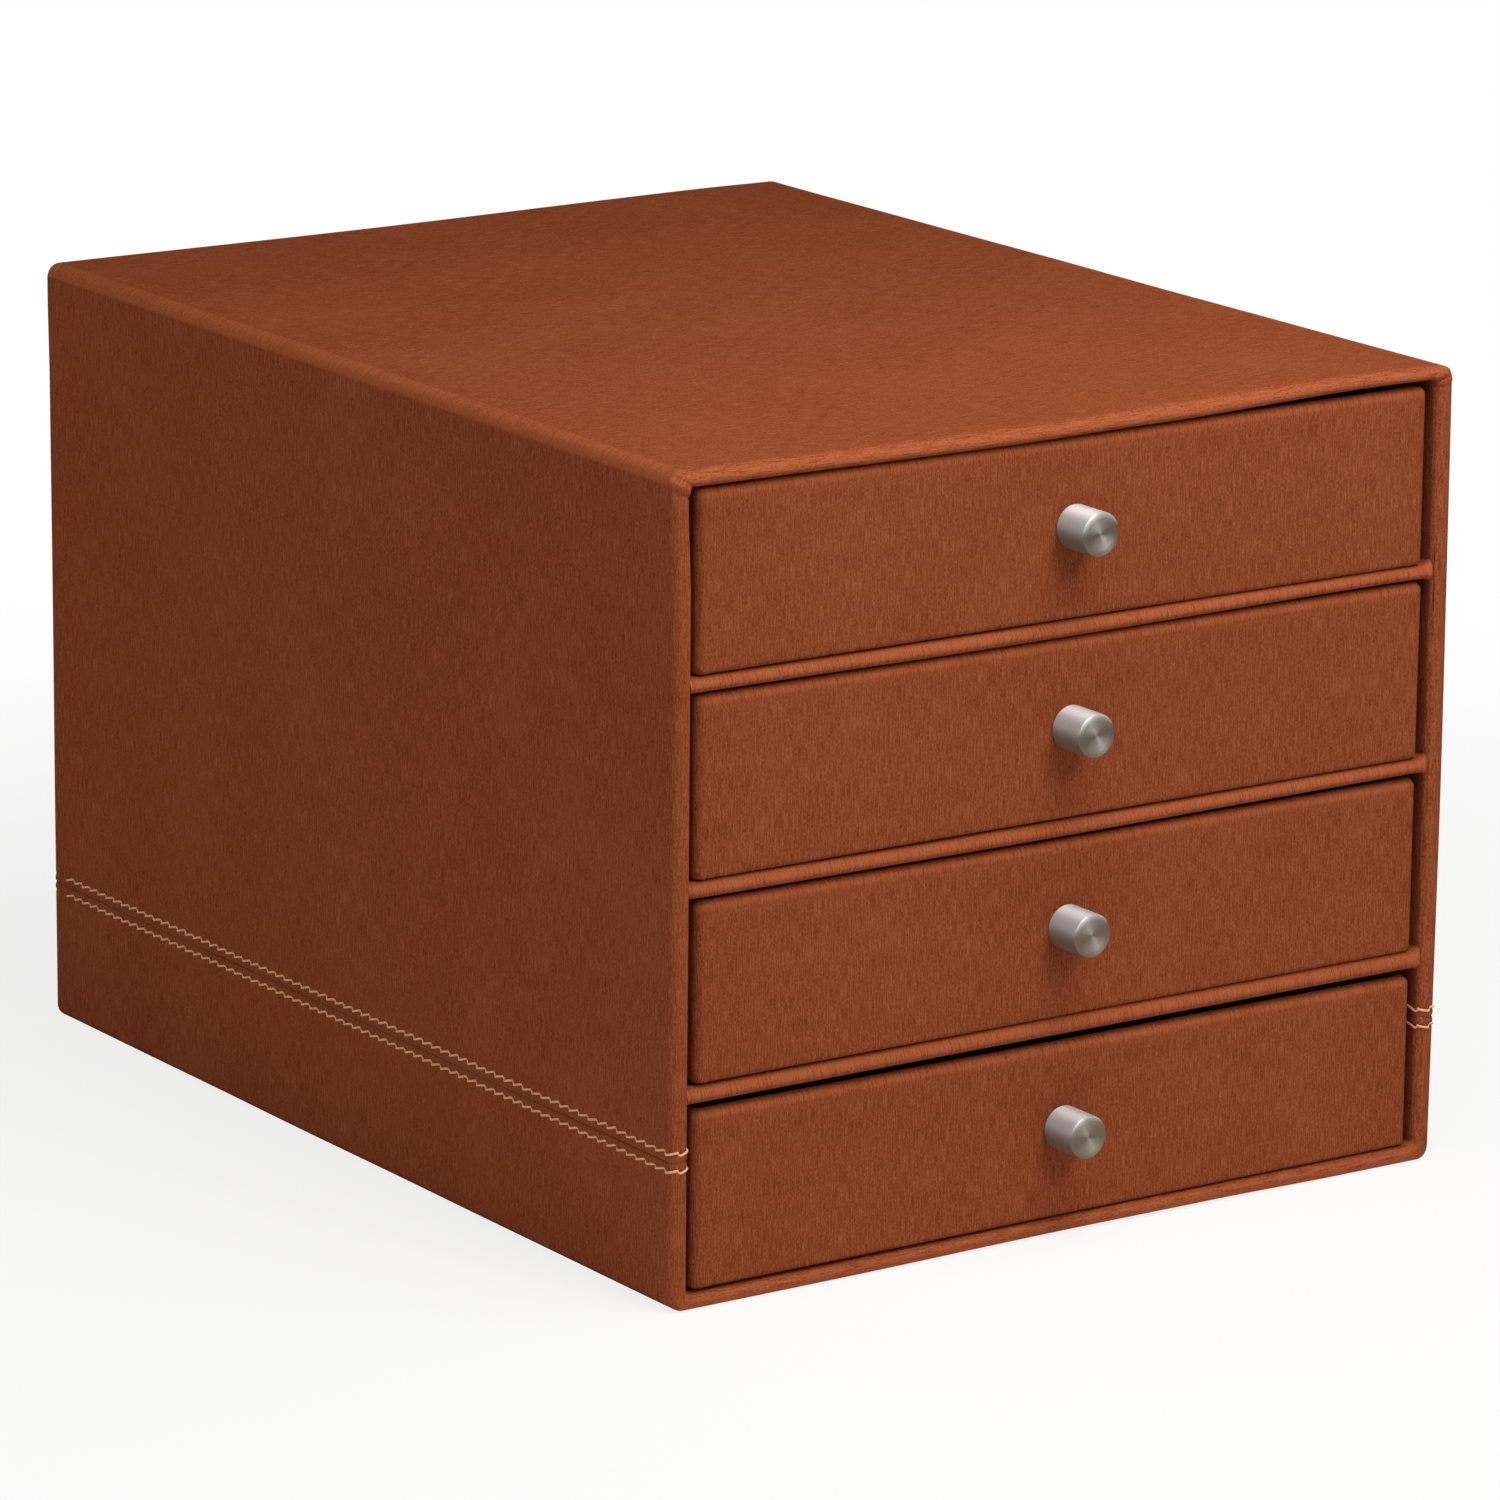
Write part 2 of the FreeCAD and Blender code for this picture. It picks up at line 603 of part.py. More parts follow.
def build_screw(name, knob_z):
    """A machine screw with a wide flat head, put in from inside the drawer."""
    body = doc.addObject("PartDesign::Body", f"{name}_body")
    head = body.newObject("PartDesign::AdditiveCylinder", f"{name}_head")
    head.setExpression("Radius", "sizes.screw_head_diameter / 2")
    head.setExpression("Height", "sizes.screw_head_height")
    shank = body.newObject("PartDesign::AdditiveCylinder", f"{name}_shank")
    shank.setExpression("Radius", "sizes.screw_diameter / 2")
    shank.setExpression("Height", "worked.drawer_wall + sizes.screw_reach")
    shank.setExpression("Placement.Base.z", "sizes.screw_head_height")
    stand_on_front(body, knob_z, "worked.drawer_wall + sizes.screw_head_height")
    keep(body, name)


def check_all():
    """Stop at any failed object or any piece without a sound shape."""
    failed = [item.Label for item in doc.Objects if {"Invalid", "Error"} & set(item.State)]
    unsound = [piece.Label for piece in nodes if piece.Shape.isNull() or not piece.Shape.isValid()]
    empty = [piece.Label for piece in nodes if not piece.Shape.Solids]
    if failed or unsound or empty:
        raise RuntimeError(f"failed {failed}, unsound {unsound}, empty {empty}")


def write_all():
    """Write each piece to its own file and say how large it is."""
    for piece in nodes:
        piece.Shape.exportStep(f"parts/{piece.Label}.step")
        bounds = piece.Shape.BoundBox
        print(
            f"{piece.Label}: {len(piece.Shape.Solids)} solids, {piece.Shape.Volume:.0f} mm3, "
            f"{bounds.XLength:.1f} x {bounds.YLength:.1f} x {bounds.ZLength:.1f} mm"
        )
    width, depth, height = 2 * worked.right, 2 * worked.back, worked.roof
    print(f"{len(nodes)} pieces, case {width:.1f} x {depth:.1f} x {height:.1f} mm")


fill_sheet()
case_lined_hollow = build_case()
for shelf_name, shelf_floor in (
    ("low_shelf", "worked.lower_floor"),
    ("middle_shelf", "worked.upper_floor"),
    ("high_shelf", "worked.top_floor"),
):
    build_shelf(shelf_name, shelf_floor, case_lined_hollow)
build_stitching("left_stitching", -1)
build_stitching("right_stitching", 1)
for drawer_level in DRAWERS:
    build_drawer(drawer_level)
doc.recompute()
check_all()
write_all()
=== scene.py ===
# %% [markdown]
# # A desktop box with four small drawers
#
# The real object is a box of solid greyboard. Every board is covered with a thin, streaked,
# leather-look paper, which is folded over the edges and glued down inside. In this lesson the
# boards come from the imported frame, and we lay the papers over them, sew the seam, turn the
# knobs and light it all like a catalogue picture.
#
# The frame gives the sizes and places of all pieces. What a drawing leaves out, such as how far
# a board has bowed, was measured in the photograph and is written here in millimetres. One unit
# is one metre.

# %% Load the frame
import json
import math
from functools import partial

import bmesh
import bpy
import numpy as np
from mathutils import Matrix, Vector

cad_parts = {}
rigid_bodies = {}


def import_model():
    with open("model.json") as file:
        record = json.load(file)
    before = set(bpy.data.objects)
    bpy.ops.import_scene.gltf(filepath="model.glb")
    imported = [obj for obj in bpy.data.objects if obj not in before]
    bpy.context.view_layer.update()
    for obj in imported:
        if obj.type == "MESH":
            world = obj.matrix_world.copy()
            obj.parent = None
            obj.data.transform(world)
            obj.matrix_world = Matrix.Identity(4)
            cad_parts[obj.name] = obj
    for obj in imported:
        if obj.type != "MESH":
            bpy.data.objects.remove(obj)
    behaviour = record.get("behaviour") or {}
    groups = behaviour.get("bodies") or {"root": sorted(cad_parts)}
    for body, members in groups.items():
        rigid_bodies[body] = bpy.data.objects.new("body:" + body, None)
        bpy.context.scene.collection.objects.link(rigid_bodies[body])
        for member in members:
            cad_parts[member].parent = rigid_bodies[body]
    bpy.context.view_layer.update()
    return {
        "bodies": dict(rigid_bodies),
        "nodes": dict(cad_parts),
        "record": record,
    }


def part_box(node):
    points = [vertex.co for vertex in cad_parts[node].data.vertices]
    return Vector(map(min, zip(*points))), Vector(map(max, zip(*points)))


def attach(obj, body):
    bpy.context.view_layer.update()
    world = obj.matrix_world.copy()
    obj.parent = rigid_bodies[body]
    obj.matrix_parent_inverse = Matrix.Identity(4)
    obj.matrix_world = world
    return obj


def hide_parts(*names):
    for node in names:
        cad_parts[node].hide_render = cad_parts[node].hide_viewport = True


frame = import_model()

MM = 0.001
nodes = frame["nodes"]
members = frame["record"]["behaviour"]["bodies"]
drawers = [body for body in frame["bodies"] if body.endswith("_drawer")]
link = bpy.context.scene.collection.objects.link
print("frame:", len(nodes), "nodes,", len(drawers), "drawers")

# %% [markdown]
# ## The camera
#
# The picture was taken with a long lens from the front left, a little above the box. A long lens
# far away keeps the edges nearly parallel. The turn, tilt and roll below were found by matching
# the eight corners of the box, so the render can be laid over the photograph.

# %% The camera
CAMERA_PLACE = Vector((-1.2540, -1.8496, 0.6812))
CAMERA_TURN = math.radians(34.306)
CAMERA_TILT = math.radians(14.523)
CAMERA_ROLL = math.radians(0.573)
CAMERA_LENS = 190.02

ahead = math.cos(CAMERA_TILT)
forward = Vector(
    (math.sin(CAMERA_TURN) * ahead, math.cos(CAMERA_TURN) * ahead, -math.sin(CAMERA_TILT))
)
level_right = forward.cross(Vector((0, 0, 1))).normalized()
level_up = level_right.cross(forward)
right = level_right * math.cos(CAMERA_ROLL) + level_up * math.sin(CAMERA_ROLL)
up = level_up * math.cos(CAMERA_ROLL) - level_right * math.sin(CAMERA_ROLL)

camera_data = bpy.data.cameras.new("camera")
camera_data.lens = CAMERA_LENS
camera_data.sensor_width = 36
camera_data.clip_end = 50
camera = bpy.data.objects.new("camera", camera_data)
link(camera)
camera.matrix_world = Matrix((right, up, -forward)).transposed().to_4x4()
camera.location = CAMERA_PLACE
bpy.context.scene.camera = camera
print("camera lens", CAMERA_LENS, "mm, from", [round(c, 3) for c in CAMERA_PLACE])

# %% [markdown]
# ## A small tool for materials
#
# A material is a tree of nodes. One function adds a node with its settings, and joins or sets
# its inputs. Colours are written as the hex values a picture would show, and turned into the
# linear values that light adds up in. Each finish is kept under the name of its slot.

# %% Material tools
finishes = {}


def linear(code):
    """A colour written as sRGB hex, as linear red, green, blue and alpha."""
    shares = [int(code[i : i + 2], 16) / 255 for i in (1, 3, 5)]
    return [s / 12.92 if s <= 0.04045 else ((s + 0.055) / 1.055) ** 2.4 for s in shares] + [1]


def new_material(slot, name):
    """Starts an empty material for a slot and returns its tree."""
    finishes[slot] = material = bpy.data.materials.new(name)
    material.use_nodes = True
    material.node_tree.nodes.clear()
    return material.node_tree


def add_node(tree, kind, inputs=(), **settings):
    """Adds a node, gives each named or numbered input another node's output, a number or a
    hex colour, and returns the node's first output."""
    node = tree.nodes.new(kind)
    for name, setting in settings.items():
        setattr(node, name, setting)
    used = [socket for socket in node.inputs if socket.enabled]
    for key, given in dict(inputs).items():
        socket = used[key] if isinstance(key, int) else next(s for s in used if s.name == key)
        if isinstance(given, bpy.types.NodeSocket):
            tree.links.new(given, socket)
        elif isinstance(given, str) and given.startswith("#"):
            socket.default_value = linear(given)
        else:
            socket.default_value = given
    return next((socket for socket in node.outputs if socket.enabled), None)


def flecked(tree, colour, noise, tones, most=1.0):
    """A colour that turns to other tones as a noise goes from its middle to each tone's end."""
    for end, tone in tones:
        reach = {"Value": noise, "From Min": 0.5, "From Max": end, "To Max": most}
        layer = {"Factor": add_node(tree, "ShaderNodeMapRange", reach), "A": colour, "B": tone}
        colour = add_node(tree, "ShaderNodeMix", layer, data_type="RGBA")
    return colour


def end_material(tree, height, strength, depth, inputs):
    """Ends a material with a surface that has these inputs and a relief of that depth."""
    bump = {"Height": height, "Strength": strength, "Distance": depth}
    inputs = {**inputs, "Normal": add_node(tree, "ShaderNodeBump", bump)}
    surface = add_node(tree, "ShaderNodeBsdfPrincipled", inputs)
    add_node(tree, "ShaderNodeOutputMaterial", {"Surface": surface})


print("#808080 is", round(linear("#808080")[0], 4), "in linear light")

# %% [markdown]
# ## The covering paper
#
# This is a coated paper, pressed with a fine streaked grain to look like brushed leather. The
# eye gets a warm cognac brown, thin streaks less than half a millimetre wide and a few
# millimetres long, shorter fibres between them, both partly darker and partly lighter than the
# brown, and very soft cloudy patches.
#
# The streaks have to run along the sheet and follow it round each fold. So each sheet carries a
# UV map named "sheet", in metres: U goes across the streaks and V along them. A noise texture
# stretched along V then gives streaks of a real width and length.
#
# Where the paper is bent round a narrow edge it is painted paler. That is partly real wear,
# as the coating is stretched thin and rubbed there, and partly a painted highlight, strongest
# where the edge faces a little upwards and ahead, towards the lamps. Each sheet carries that
# share as an attribute named "worn". The streaks still cross it.

# %% The grain of the covering paper
GRAIN = {
    "streak": (0.36 * MM, 6.2 * MM, 0.70),
    "fibre": (0.31 * MM, 0.9 * MM, 0.58),
    "cloud": (30 * MM, 48 * MM, 0.09),
}
# The second colour is the paler tone of bent edges: partly real wear, partly a painted highlight.
COVER_BASE, COVER_WEAR_AND_HIGHLIGHT = "#864225", "#A95935"
COVER_DARK, COVER_LIGHT = "#5E2308", "#AA6546"
GRAIN_TONES = ((0.15, COVER_DARK), (0.85, COVER_LIGHT))

tree = new_material("cover_paper", "coated_paper_pressed_grain")
sheet_place = add_node(tree, "ShaderNodeUVMap", uv_map="sheet")
# Bent edges turn to the paler tone: partly real wear, partly a painted highlight.
wear_and_highlight = add_node(tree, "ShaderNodeAttribute", attribute_name="wear_and_highlight").node.outputs["Fac"]
colour = {"Factor": wear_and_highlight, "A": COVER_BASE, "B": COVER_WEAR_AND_HIGHLIGHT}
colour = add_node(tree, "ShaderNodeMix", colour, data_type="RGBA")
noises = {}
for part, (width, length, most) in GRAIN.items():
    scale = {"Vector": sheet_place, "Scale": (1 / width, 1 / length, 1)}
    noise = {"Vector": add_node(tree, "ShaderNodeMapping", scale), "Roughness": 0.55, "Scale": 1.0}
    noises[part] = add_node(tree, "ShaderNodeTexNoise", noise, noise_dimensions="2D")
    colour = flecked(tree, colour, noises[part], GRAIN_TONES, most)
    print(part, round(width / MM, 2), "by", round(length / MM, 2), "mm")

# %% The relief and the gloss of the covering paper
streak = noises["streak"]
height = add_node(tree, "ShaderNodeMath", {0: noises["fibre"], 1: streak}, operation="ADD")
gloss = {"Value": streak, "From Min": 0.35, "From Max": 0.7, "To Min": 0.46, "To Max": 0.56}
gloss = add_node(tree, "ShaderNodeMapRange", gloss)
surface = {"Base Color": colour, "Roughness": gloss, "Specular IOR Level": 0.0}
end_material(tree, height, 0.35, 0.05 * MM, surface)
print("covering paper:", len(tree.nodes), "nodes")

# %% [markdown]
# ## The other finishes
#
# The inside of the drawers and of the case is lined with a plain uncoated paper of a matching
# brown: matt, with short soft fibres. The boards are solid greyboard, which is pressed waste
# paper: mid grey with darker and lighter flecks. It is hidden, but an honest model has it.
#
# The sewing thread is waxed linen, tan, slightly shiny where it lies over the paper.

# %% Lining paper, greyboard and thread
FIBROUS = {
    "lining_paper": ("uncoated_lining_paper", "#74381F", "#7F4126", "#662F19", 0.8, 0.8, 0.03),
    "greyboard": ("pressed_greyboard", "#8E8980", "#A8A399", "#6F6B63", 1.2, 0.9, 0.05),
    "stitching_thread": ("waxed_linen_thread", "#E6AB7C", "#F6CBA4", "#C4885C", 0.5, 0.6, 0.04),
}
for slot, (name, base, light, dark, fleck_size, roughness, depth) in FIBROUS.items():
    tree = new_material(slot, name)
    place = add_node(tree, "ShaderNodeTexCoord").node.outputs["Object"]
    fleck = {"Vector": place, "Scale": 1 / (fleck_size * MM), "Detail": 4.0, "Roughness": 0.65}
    fleck = add_node(tree, "ShaderNodeTexNoise", fleck)
    colour = flecked(tree, base, fleck, ((0.75, light), (0.25, dark)))
    surface = {"Base Color": colour, "Roughness": roughness, "Specular IOR Level": 0.2}
    end_material(tree, fleck, 0.4, depth * MM, surface)
    print(name, "has flecks of", fleck_size, "mm")

# %% [markdown]
# ## Sizes read from the frame
#
# The papers lie between known faces: the outside of a wrap, the face of the board under it,
# and the inside of the cell that the drawers run in. The thickness of the paper is the step
# from a wrap to its board.
#
# Then come the radii of the edges, outer and inner, as the bent paper rounds them. They belong
# to this one box: the paper has more room where it is folded in at the right and under the base.

# %% Sizes from the frame, and the radii of the edges
wrap_low, wrap_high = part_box("upper_wrap")
skirt_low, skirt_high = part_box("lower_wrap")

PAPER = wrap_high.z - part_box("top_board")[1].z
HALF_WIDTH = wrap_high.x
FRONT, BACK = wrap_low.y, wrap_high.y
TOP, UNDERSIDE = wrap_high.z, skirt_low.z
CELL_HALF = -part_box("left_side_board")[1].x - PAPER
CELL_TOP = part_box("top_board")[0].z - PAPER
CELL_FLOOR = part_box("bottom_board")[1].z + PAPER
SEAM = (wrap_low.z + skirt_high.z) / 2
TURN_IN_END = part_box("ceiling_lining")[0].y
REAR_TURN = HALF_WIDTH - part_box("back_sheet")[1].x

LONG_EDGE, REAR_EDGE = 4.0 * MM, 1.20 * MM
LEFT_EDGES = (2.48 * MM, 1.30 * MM)
RIGHT_EDGES = (2.48 * MM, 2.40 * MM)
TOP_EDGES = (3.10 * MM, 1.30 * MM)
BASE_EDGES = (0.55 * MM, 2.40 * MM)
print("paper %.2f mm, cell half width %.2f mm" % (PAPER / MM, CELL_HALF / MM))
print("cell from z %.2f to %.2f mm, seam at %.2f mm" % (CELL_FLOOR / MM, CELL_TOP / MM, SEAM / MM))

# %% [markdown]
# ## How a papered board box settles
#
# No board box stays perfectly flat. The glue dries, the boards bow by up to a millimetre or so,
# and that is what makes the gaps over the drawers wedge-shaped in the picture. Each level below
# is a height in the case with a few lifts, written as (share of the width, millimetres). Every
# piece of the case goes through the same function, so boards and papers stay face to face. The
# case bows most at its open front. The right wall also bows outwards a little and is thicker
# where paper is folded into the cell, and the left wall bows inwards.

# %% The settling of the case
LEVELS = {
    UNDERSIDE: ((0.0, 0.0), (0.2, 0.0), (0.53, 0.6), (0.70, 0.5), (0.88, 0.0), (1.0, 0.0)),
    CELL_FLOOR: ((0.0, -0.5), (0.2, -0.5), (0.5, -0.1), (0.6, 0.0), (1.0, 0.0)),
    CELL_TOP: ((0.0, -0.6), (0.42, -1.2), (0.60, -0.7), (0.90, 1.0), (1.0, 0.9)),
    TOP: ((0.0, -0.1), (0.42, -0.9), (0.88, 1.0), (1.0, 0.3)),
}
SHELVES = {
    "low_shelf_cover": (
        ((0.0, -0.6), (0.5, -0.5), (1.0, -0.6)),
        ((0.0, -0.3), (0.2, -0.2), (0.5, 0.15), (1.0, 0.15)),
    ),
    "middle_shelf_cover": (
        ((0.0, -0.2), (0.45, -0.45), (0.92, 0.2), (1.0, 0.3)),
        ((0.0, 0.0), (0.48, -0.2), (0.90, 0.15), (1.0, 0.1)),
    ),
    "high_shelf_cover": (
        ((0.0, 0.0), (0.43, -0.4), (0.92, 0.5), (1.0, 0.4)),
        ((0.0, -0.15), (0.40, -0.2), (0.80, 0.1), (1.0, 0.1)),
    ),
}
for shelf, rows in SHELVES.items():
    for corner, row in zip(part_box(shelf), rows):
        LEVELS[corner.z] = row
SETTLING = sorted(LEVELS.items())
BOW_OF_RIGHT_WALL, BOW_OF_LEFT_WALL, SWELLING_OF_RIGHT_WALL = 0.8 * MM, 1.0 * MM, 0.8 * MM
SETTLING_REACH, SETTLING_AT_BACK = 90 * MM, 0.35
# A wall's bow starts at a share of the half width and is full after a further share.
RIGHT_ZONE, LEFT_ZONE = (0.8, 0.2), (0.7, 0.25)
# The right wall swells from this far under its outside, and fully this much further in.
SKIN, SKIN_FADE = 0.5 * MM, 4 * MM
# The left wall's bow ends at this share of the height, and grows below it at this rate.
LEFT_BOW_TOP, LEFT_BOW_FADE = 0.97, 8


def eased(share):
    """Zero up to 0, one from 1 on, and a smooth rise between."""
    share = np.clip(share, 0, 1)
    return share * share * (3 - 2 * share)


def lift_at(lifts, share):
    """The lift at a share of the width, easing from one written lift to the next."""
    lift = np.full_like(share, lifts[0][1])
    for (start, _), (end, reached) in zip(lifts, lifts[1:]):
        lift += (reached - lift) * eased((share - start) / (end - start))
    return lift * MM


def settle(points):
    """Moves points of the case, an array of x, y, z, as its boards have settled."""
    points = np.array(points, float)
    x, y, z = points[..., 0], points[..., 1], points[..., 2]
    share = np.clip(x / (2 * HALF_WIDTH) + 0.5, 0, 1)
    depth = np.maximum(y - FRONT, 0)
    strength = SETTLING_AT_BACK + (1 - SETTLING_AT_BACK) * np.exp(-depth / SETTLING_REACH)
    heights = [height for height, _ in SETTLING]
    lifts = np.array([lift_at(row, share) for _, row in SETTLING])
    lift = lifts[0] * (z < heights[0]) + lifts[-1] * (z >= heights[-1])
    for low, high, lower, upper in zip(heights, heights[1:], lifts, lifts[1:]):
        within = (z >= low) & (z < high)
        lift = lift + within * (lower + (upper - lower) * (z - low) / (high - low))
    height = np.clip(z / TOP, 0, 1)
    near_right, near_left = (
        eased((out - start * HALF_WIDTH) / (growth * HALF_WIDTH))
        for out, (start, growth) in ((x, RIGHT_ZONE), (-x, LEFT_ZONE))
    )
    inner_side = eased((HALF_WIDTH - SKIN - x) / SKIN_FADE)
    sideways = BOW_OF_RIGHT_WALL * np.sin(math.pi * height) * near_right
    sideways = sideways - SWELLING_OF_RIGHT_WALL * near_right * inner_side
    sideways = sideways + BOW_OF_LEFT_WALL * eased(LEFT_BOW_FADE * (LEFT_BOW_TOP - height)) * near_left
    points[..., 0] = x + sideways * strength
    points[..., 2] = z + lift * strength
    return points


print("the top's front edge settles by", settle([0.1 * HALF_WIDTH, FRONT, TOP])[2] - TOP)

# %% [markdown]
# ## From a grid of points to a sheet of paper
#
# A folded sheet is easiest to build as a grid: one direction runs along the fold, the other
# goes round it. We make the grid twice, once for the outside face and once for the face that is
# glued to the board, half a millimetre further in, and join their rims. That gives a closed
# sheet with a real thickness.
#
# The stations are close together only where the paper bends. A weighted normal keeps the large
# flat areas flat to the eye, although they are shaded smooth.

# %% Lines and grids


def spread(start, end, step):
    """Places from start to end, evenly apart and no further than step."""
    count = max(1, math.ceil(abs(end - start) / step - 1e-6))
    return list(np.linspace(start, end, count + 1))


def joined(*runs):
    """Several runs of places as one, each starting where the one before ends."""
    places = list(runs[0])
    for run in runs[1:]:
        places += list(run)[1:]
    return np.array(places)


def arc(step, end=90):
    """The cosine and sine of turns from zero to end, in degrees, no further apart than step."""
    return [(math.cos(turn), math.sin(turn)) for turn in np.radians(spread(0, end, step))]


def lengths(points):
    """How far along a line each of its points lies."""
    steps = np.linalg.norm(np.diff(points, axis=0), axis=1)
    return np.concatenate([[0], np.cumsum(steps)])


def sheet_faces(rows, columns, rims):
    """Quads of two grids whose points are numbered row by row, and of the rims that join them."""
    first = [
        (a, a + 1, a + 1 + columns, a + columns)
        for row in range(rows - 1)
        for a in range(row * columns, row * columns + columns - 1)
    ]
    count = rows * columns
    faces = first + [tuple(point + count for point in quad[::-1]) for quad in first]
    runs = {
        "first_row": range(columns),
        "last_row": range(count - columns, count),
        "first_column": range(0, count, columns),
        "last_column": range(columns - 1, count, columns),
    }
    for rim in rims:
        faces += [(a, b, b + count, a + count) for a, b in zip(runs[rim], runs[rim][1:])]
    return faces


# %% Pieces and their finish
# The painted highlight on bent edges is strongest where they look this far upwards.
PAINTED_HIGHLIGHT_ANGLE = math.radians(25)
ALL_RIMS = ("first_row", "last_row", "first_column", "last_column")


def lay_map(mesh, name, places):
    """A UV map that gives each point of a mesh its place."""
    corners = np.zeros(len(mesh.loops), np.int32)
    mesh.loops.foreach_get("vertex_index", corners)
    layer = mesh.uv_layers.get(name) or mesh.uv_layers.new(name=name)
    layer.data.foreach_set("uv", places[corners].astype(np.float32).ravel())


def turn_outwards(mesh, merged=False):
    """Turns all faces outwards. Where merged, points at one place first become one point."""
    work = bmesh.new()
    work.from_mesh(mesh)
    if merged:
        bmesh.ops.remove_doubles(work, verts=work.verts, dist=0.001 * MM)
        bmesh.ops.dissolve_degenerate(work, edges=work.edges, dist=0.0005 * MM)
    bmesh.ops.recalc_face_normals(work, faces=work.faces)
    work.to_mesh(mesh)
    work.free()


def finish_piece(name, mesh, slot, body, replaced, smooth_angle=40):
    """Shades a mesh, gives it its finish, and hangs it on its body in place of a CAD node."""
    mesh.materials.clear()
    mesh.materials.append(finishes[slot])
    mesh.shade_smooth()
    mesh.set_sharp_from_angle(angle=math.radians(smooth_angle))
    piece = bpy.data.objects.new(name, mesh)
    link(piece)
    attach(piece, body)
    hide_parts(replaced)
    return piece


def report(mesh):
    """Prints one line on a finished mesh."""
    work = bmesh.new()
    work.from_mesh(mesh)
    open_edges = sum(1 for edge in work.edges if len(edge.link_faces) != 2)
    triangles = sum(len(face.verts) - 2 for face in work.faces)
    volume = work.calc_volume(signed=True) * 1e6
    work.free()
    print(mesh.name, triangles, "triangles,", open_edges, "open edges, %.2f cm3" % volume)


def wear_and_highlight_share(looks, strength, long_edge=0.0):
    """How far the paper of a narrow edge is painted paler, partly for wear and partly as a painted
    highlight, most where it looks a little upwards. strength is for edges that look ahead,
    long_edge for those that look to the side."""
    across = np.hypot(looks[..., 0], looks[..., 1])
    angle = np.arctan2(looks[..., 2], across)
    ahead = np.clip(-looks[..., 1] / np.maximum(across, 1e-9), 0, 1) ** 2
    strength = long_edge + (strength - long_edge) * ahead
    return strength * np.clip(np.cos(angle - PAINTED_HIGHLIGHT_ANGLE), 0, 1) ** 6


def lay_paper(node, body, outside, inside, wear_and_highlight, along, across, rims=ALL_RIMS):
    """Makes a closed sheet from the grids of its two faces and lays it in place of a CAD node.
    worn says how far each outside point is painted paler, for wear and for a painted highlight,
    along and across where it lies on the sheet: along its streaks and across them."""
    mesh = bpy.data.meshes.new(node + "_paper")
    points = np.concatenate([outside.reshape(-1, 3), inside.reshape(-1, 3)])
    mesh.from_pydata(points.tolist(), [], sheet_faces(*outside.shape[:2], rims))
    u, v = np.broadcast_arrays(across, along)
    places = np.stack([u.ravel(), v.ravel()], axis=1)
    lay_map(mesh, "sheet", np.concatenate([places, places]))
    wear_and_highlight = np.concatenate([wear_and_highlight.ravel(), np.zeros(wear_and_highlight.size)]).astype(np.float32)
    mesh.attributes.new("wear_and_highlight", "FLOAT", "POINT").data.foreach_set("value", wear_and_highlight)
    turn_outwards(mesh, merged=True)
    piece = finish_piece(mesh.name, mesh, "cover_paper", body, node)
    weighted = piece.modifiers.new("weighted_normals", "WEIGHTED_NORMAL")
    weighted.keep_sharp = True
    weighted.weight = 100
    report(mesh)


# %% [markdown]
# ## The two wraps
#
# One sheet covers the case from the seam up the left wall, over the top and down the right
# wall. A second one goes down and under. Each is folded round the mouth into the cell, and
# round the rear edges onto the back wall.
#
# Seen from the front, the sheet is a line round the case. Each station on that line has a base
# point, an outward direction and a lever, which is the radius of the rounded long edge. Seen
# from the side, the sheet is a profile: inside the mouth, round the front edge, back along the
# wall and onto the rear. Every grid point is one station of the line met with one station of
# the profile, so the corners close by themselves.

# %% The line of a wrap, seen from the front
CORNER_ZONE = 11 * MM
FINE_STEP, COARSE_STEP = 0.35 * MM, 6 * MM
MOUTH_CORNER = 1.4 * MM


def wrap_line(start, far):
    """Stations of base x, base z, outward x, outward z and lever, from seam to seam."""
    upwards = math.copysign(1, far - start)
    rise = abs(far - start) - LONG_EDGE
    reach = HALF_WIDTH - LONG_EDGE
    # Finest over the lips of the seam, fine over the stitches and at the corner.
    wall = joined(
        spread(0, 1.2 * MM, 0.12 * MM),
        spread(1.2 * MM, 4.8 * MM, 0.3 * MM),
        spread(4.8 * MM, rise - CORNER_ZONE, COARSE_STEP),
        spread(rise - CORNER_ZONE, rise, FINE_STEP),
    )
    across = joined(
        spread(-reach, CORNER_ZONE - reach, FINE_STEP),
        spread(CORNER_ZONE - reach, 0, COARSE_STEP),
    )
    left = [(-HALF_WIDTH, start + upwards * place, -1, 0, 0) for place in wall[:-1]]
    for cosine, sine in arc(5):
        left.append((-reach, far - upwards * LONG_EDGE, -cosine, upwards * sine, LONG_EDGE))
    left += [(x, far, 0, upwards, 0) for x in across[1:]]
    mirrored = [(-x, z, -side, rising, lever) for x, z, side, rising, lever in left[-2::-1]]
    return np.array(left + mirrored)


# %% The profile of a wrap, seen from the side


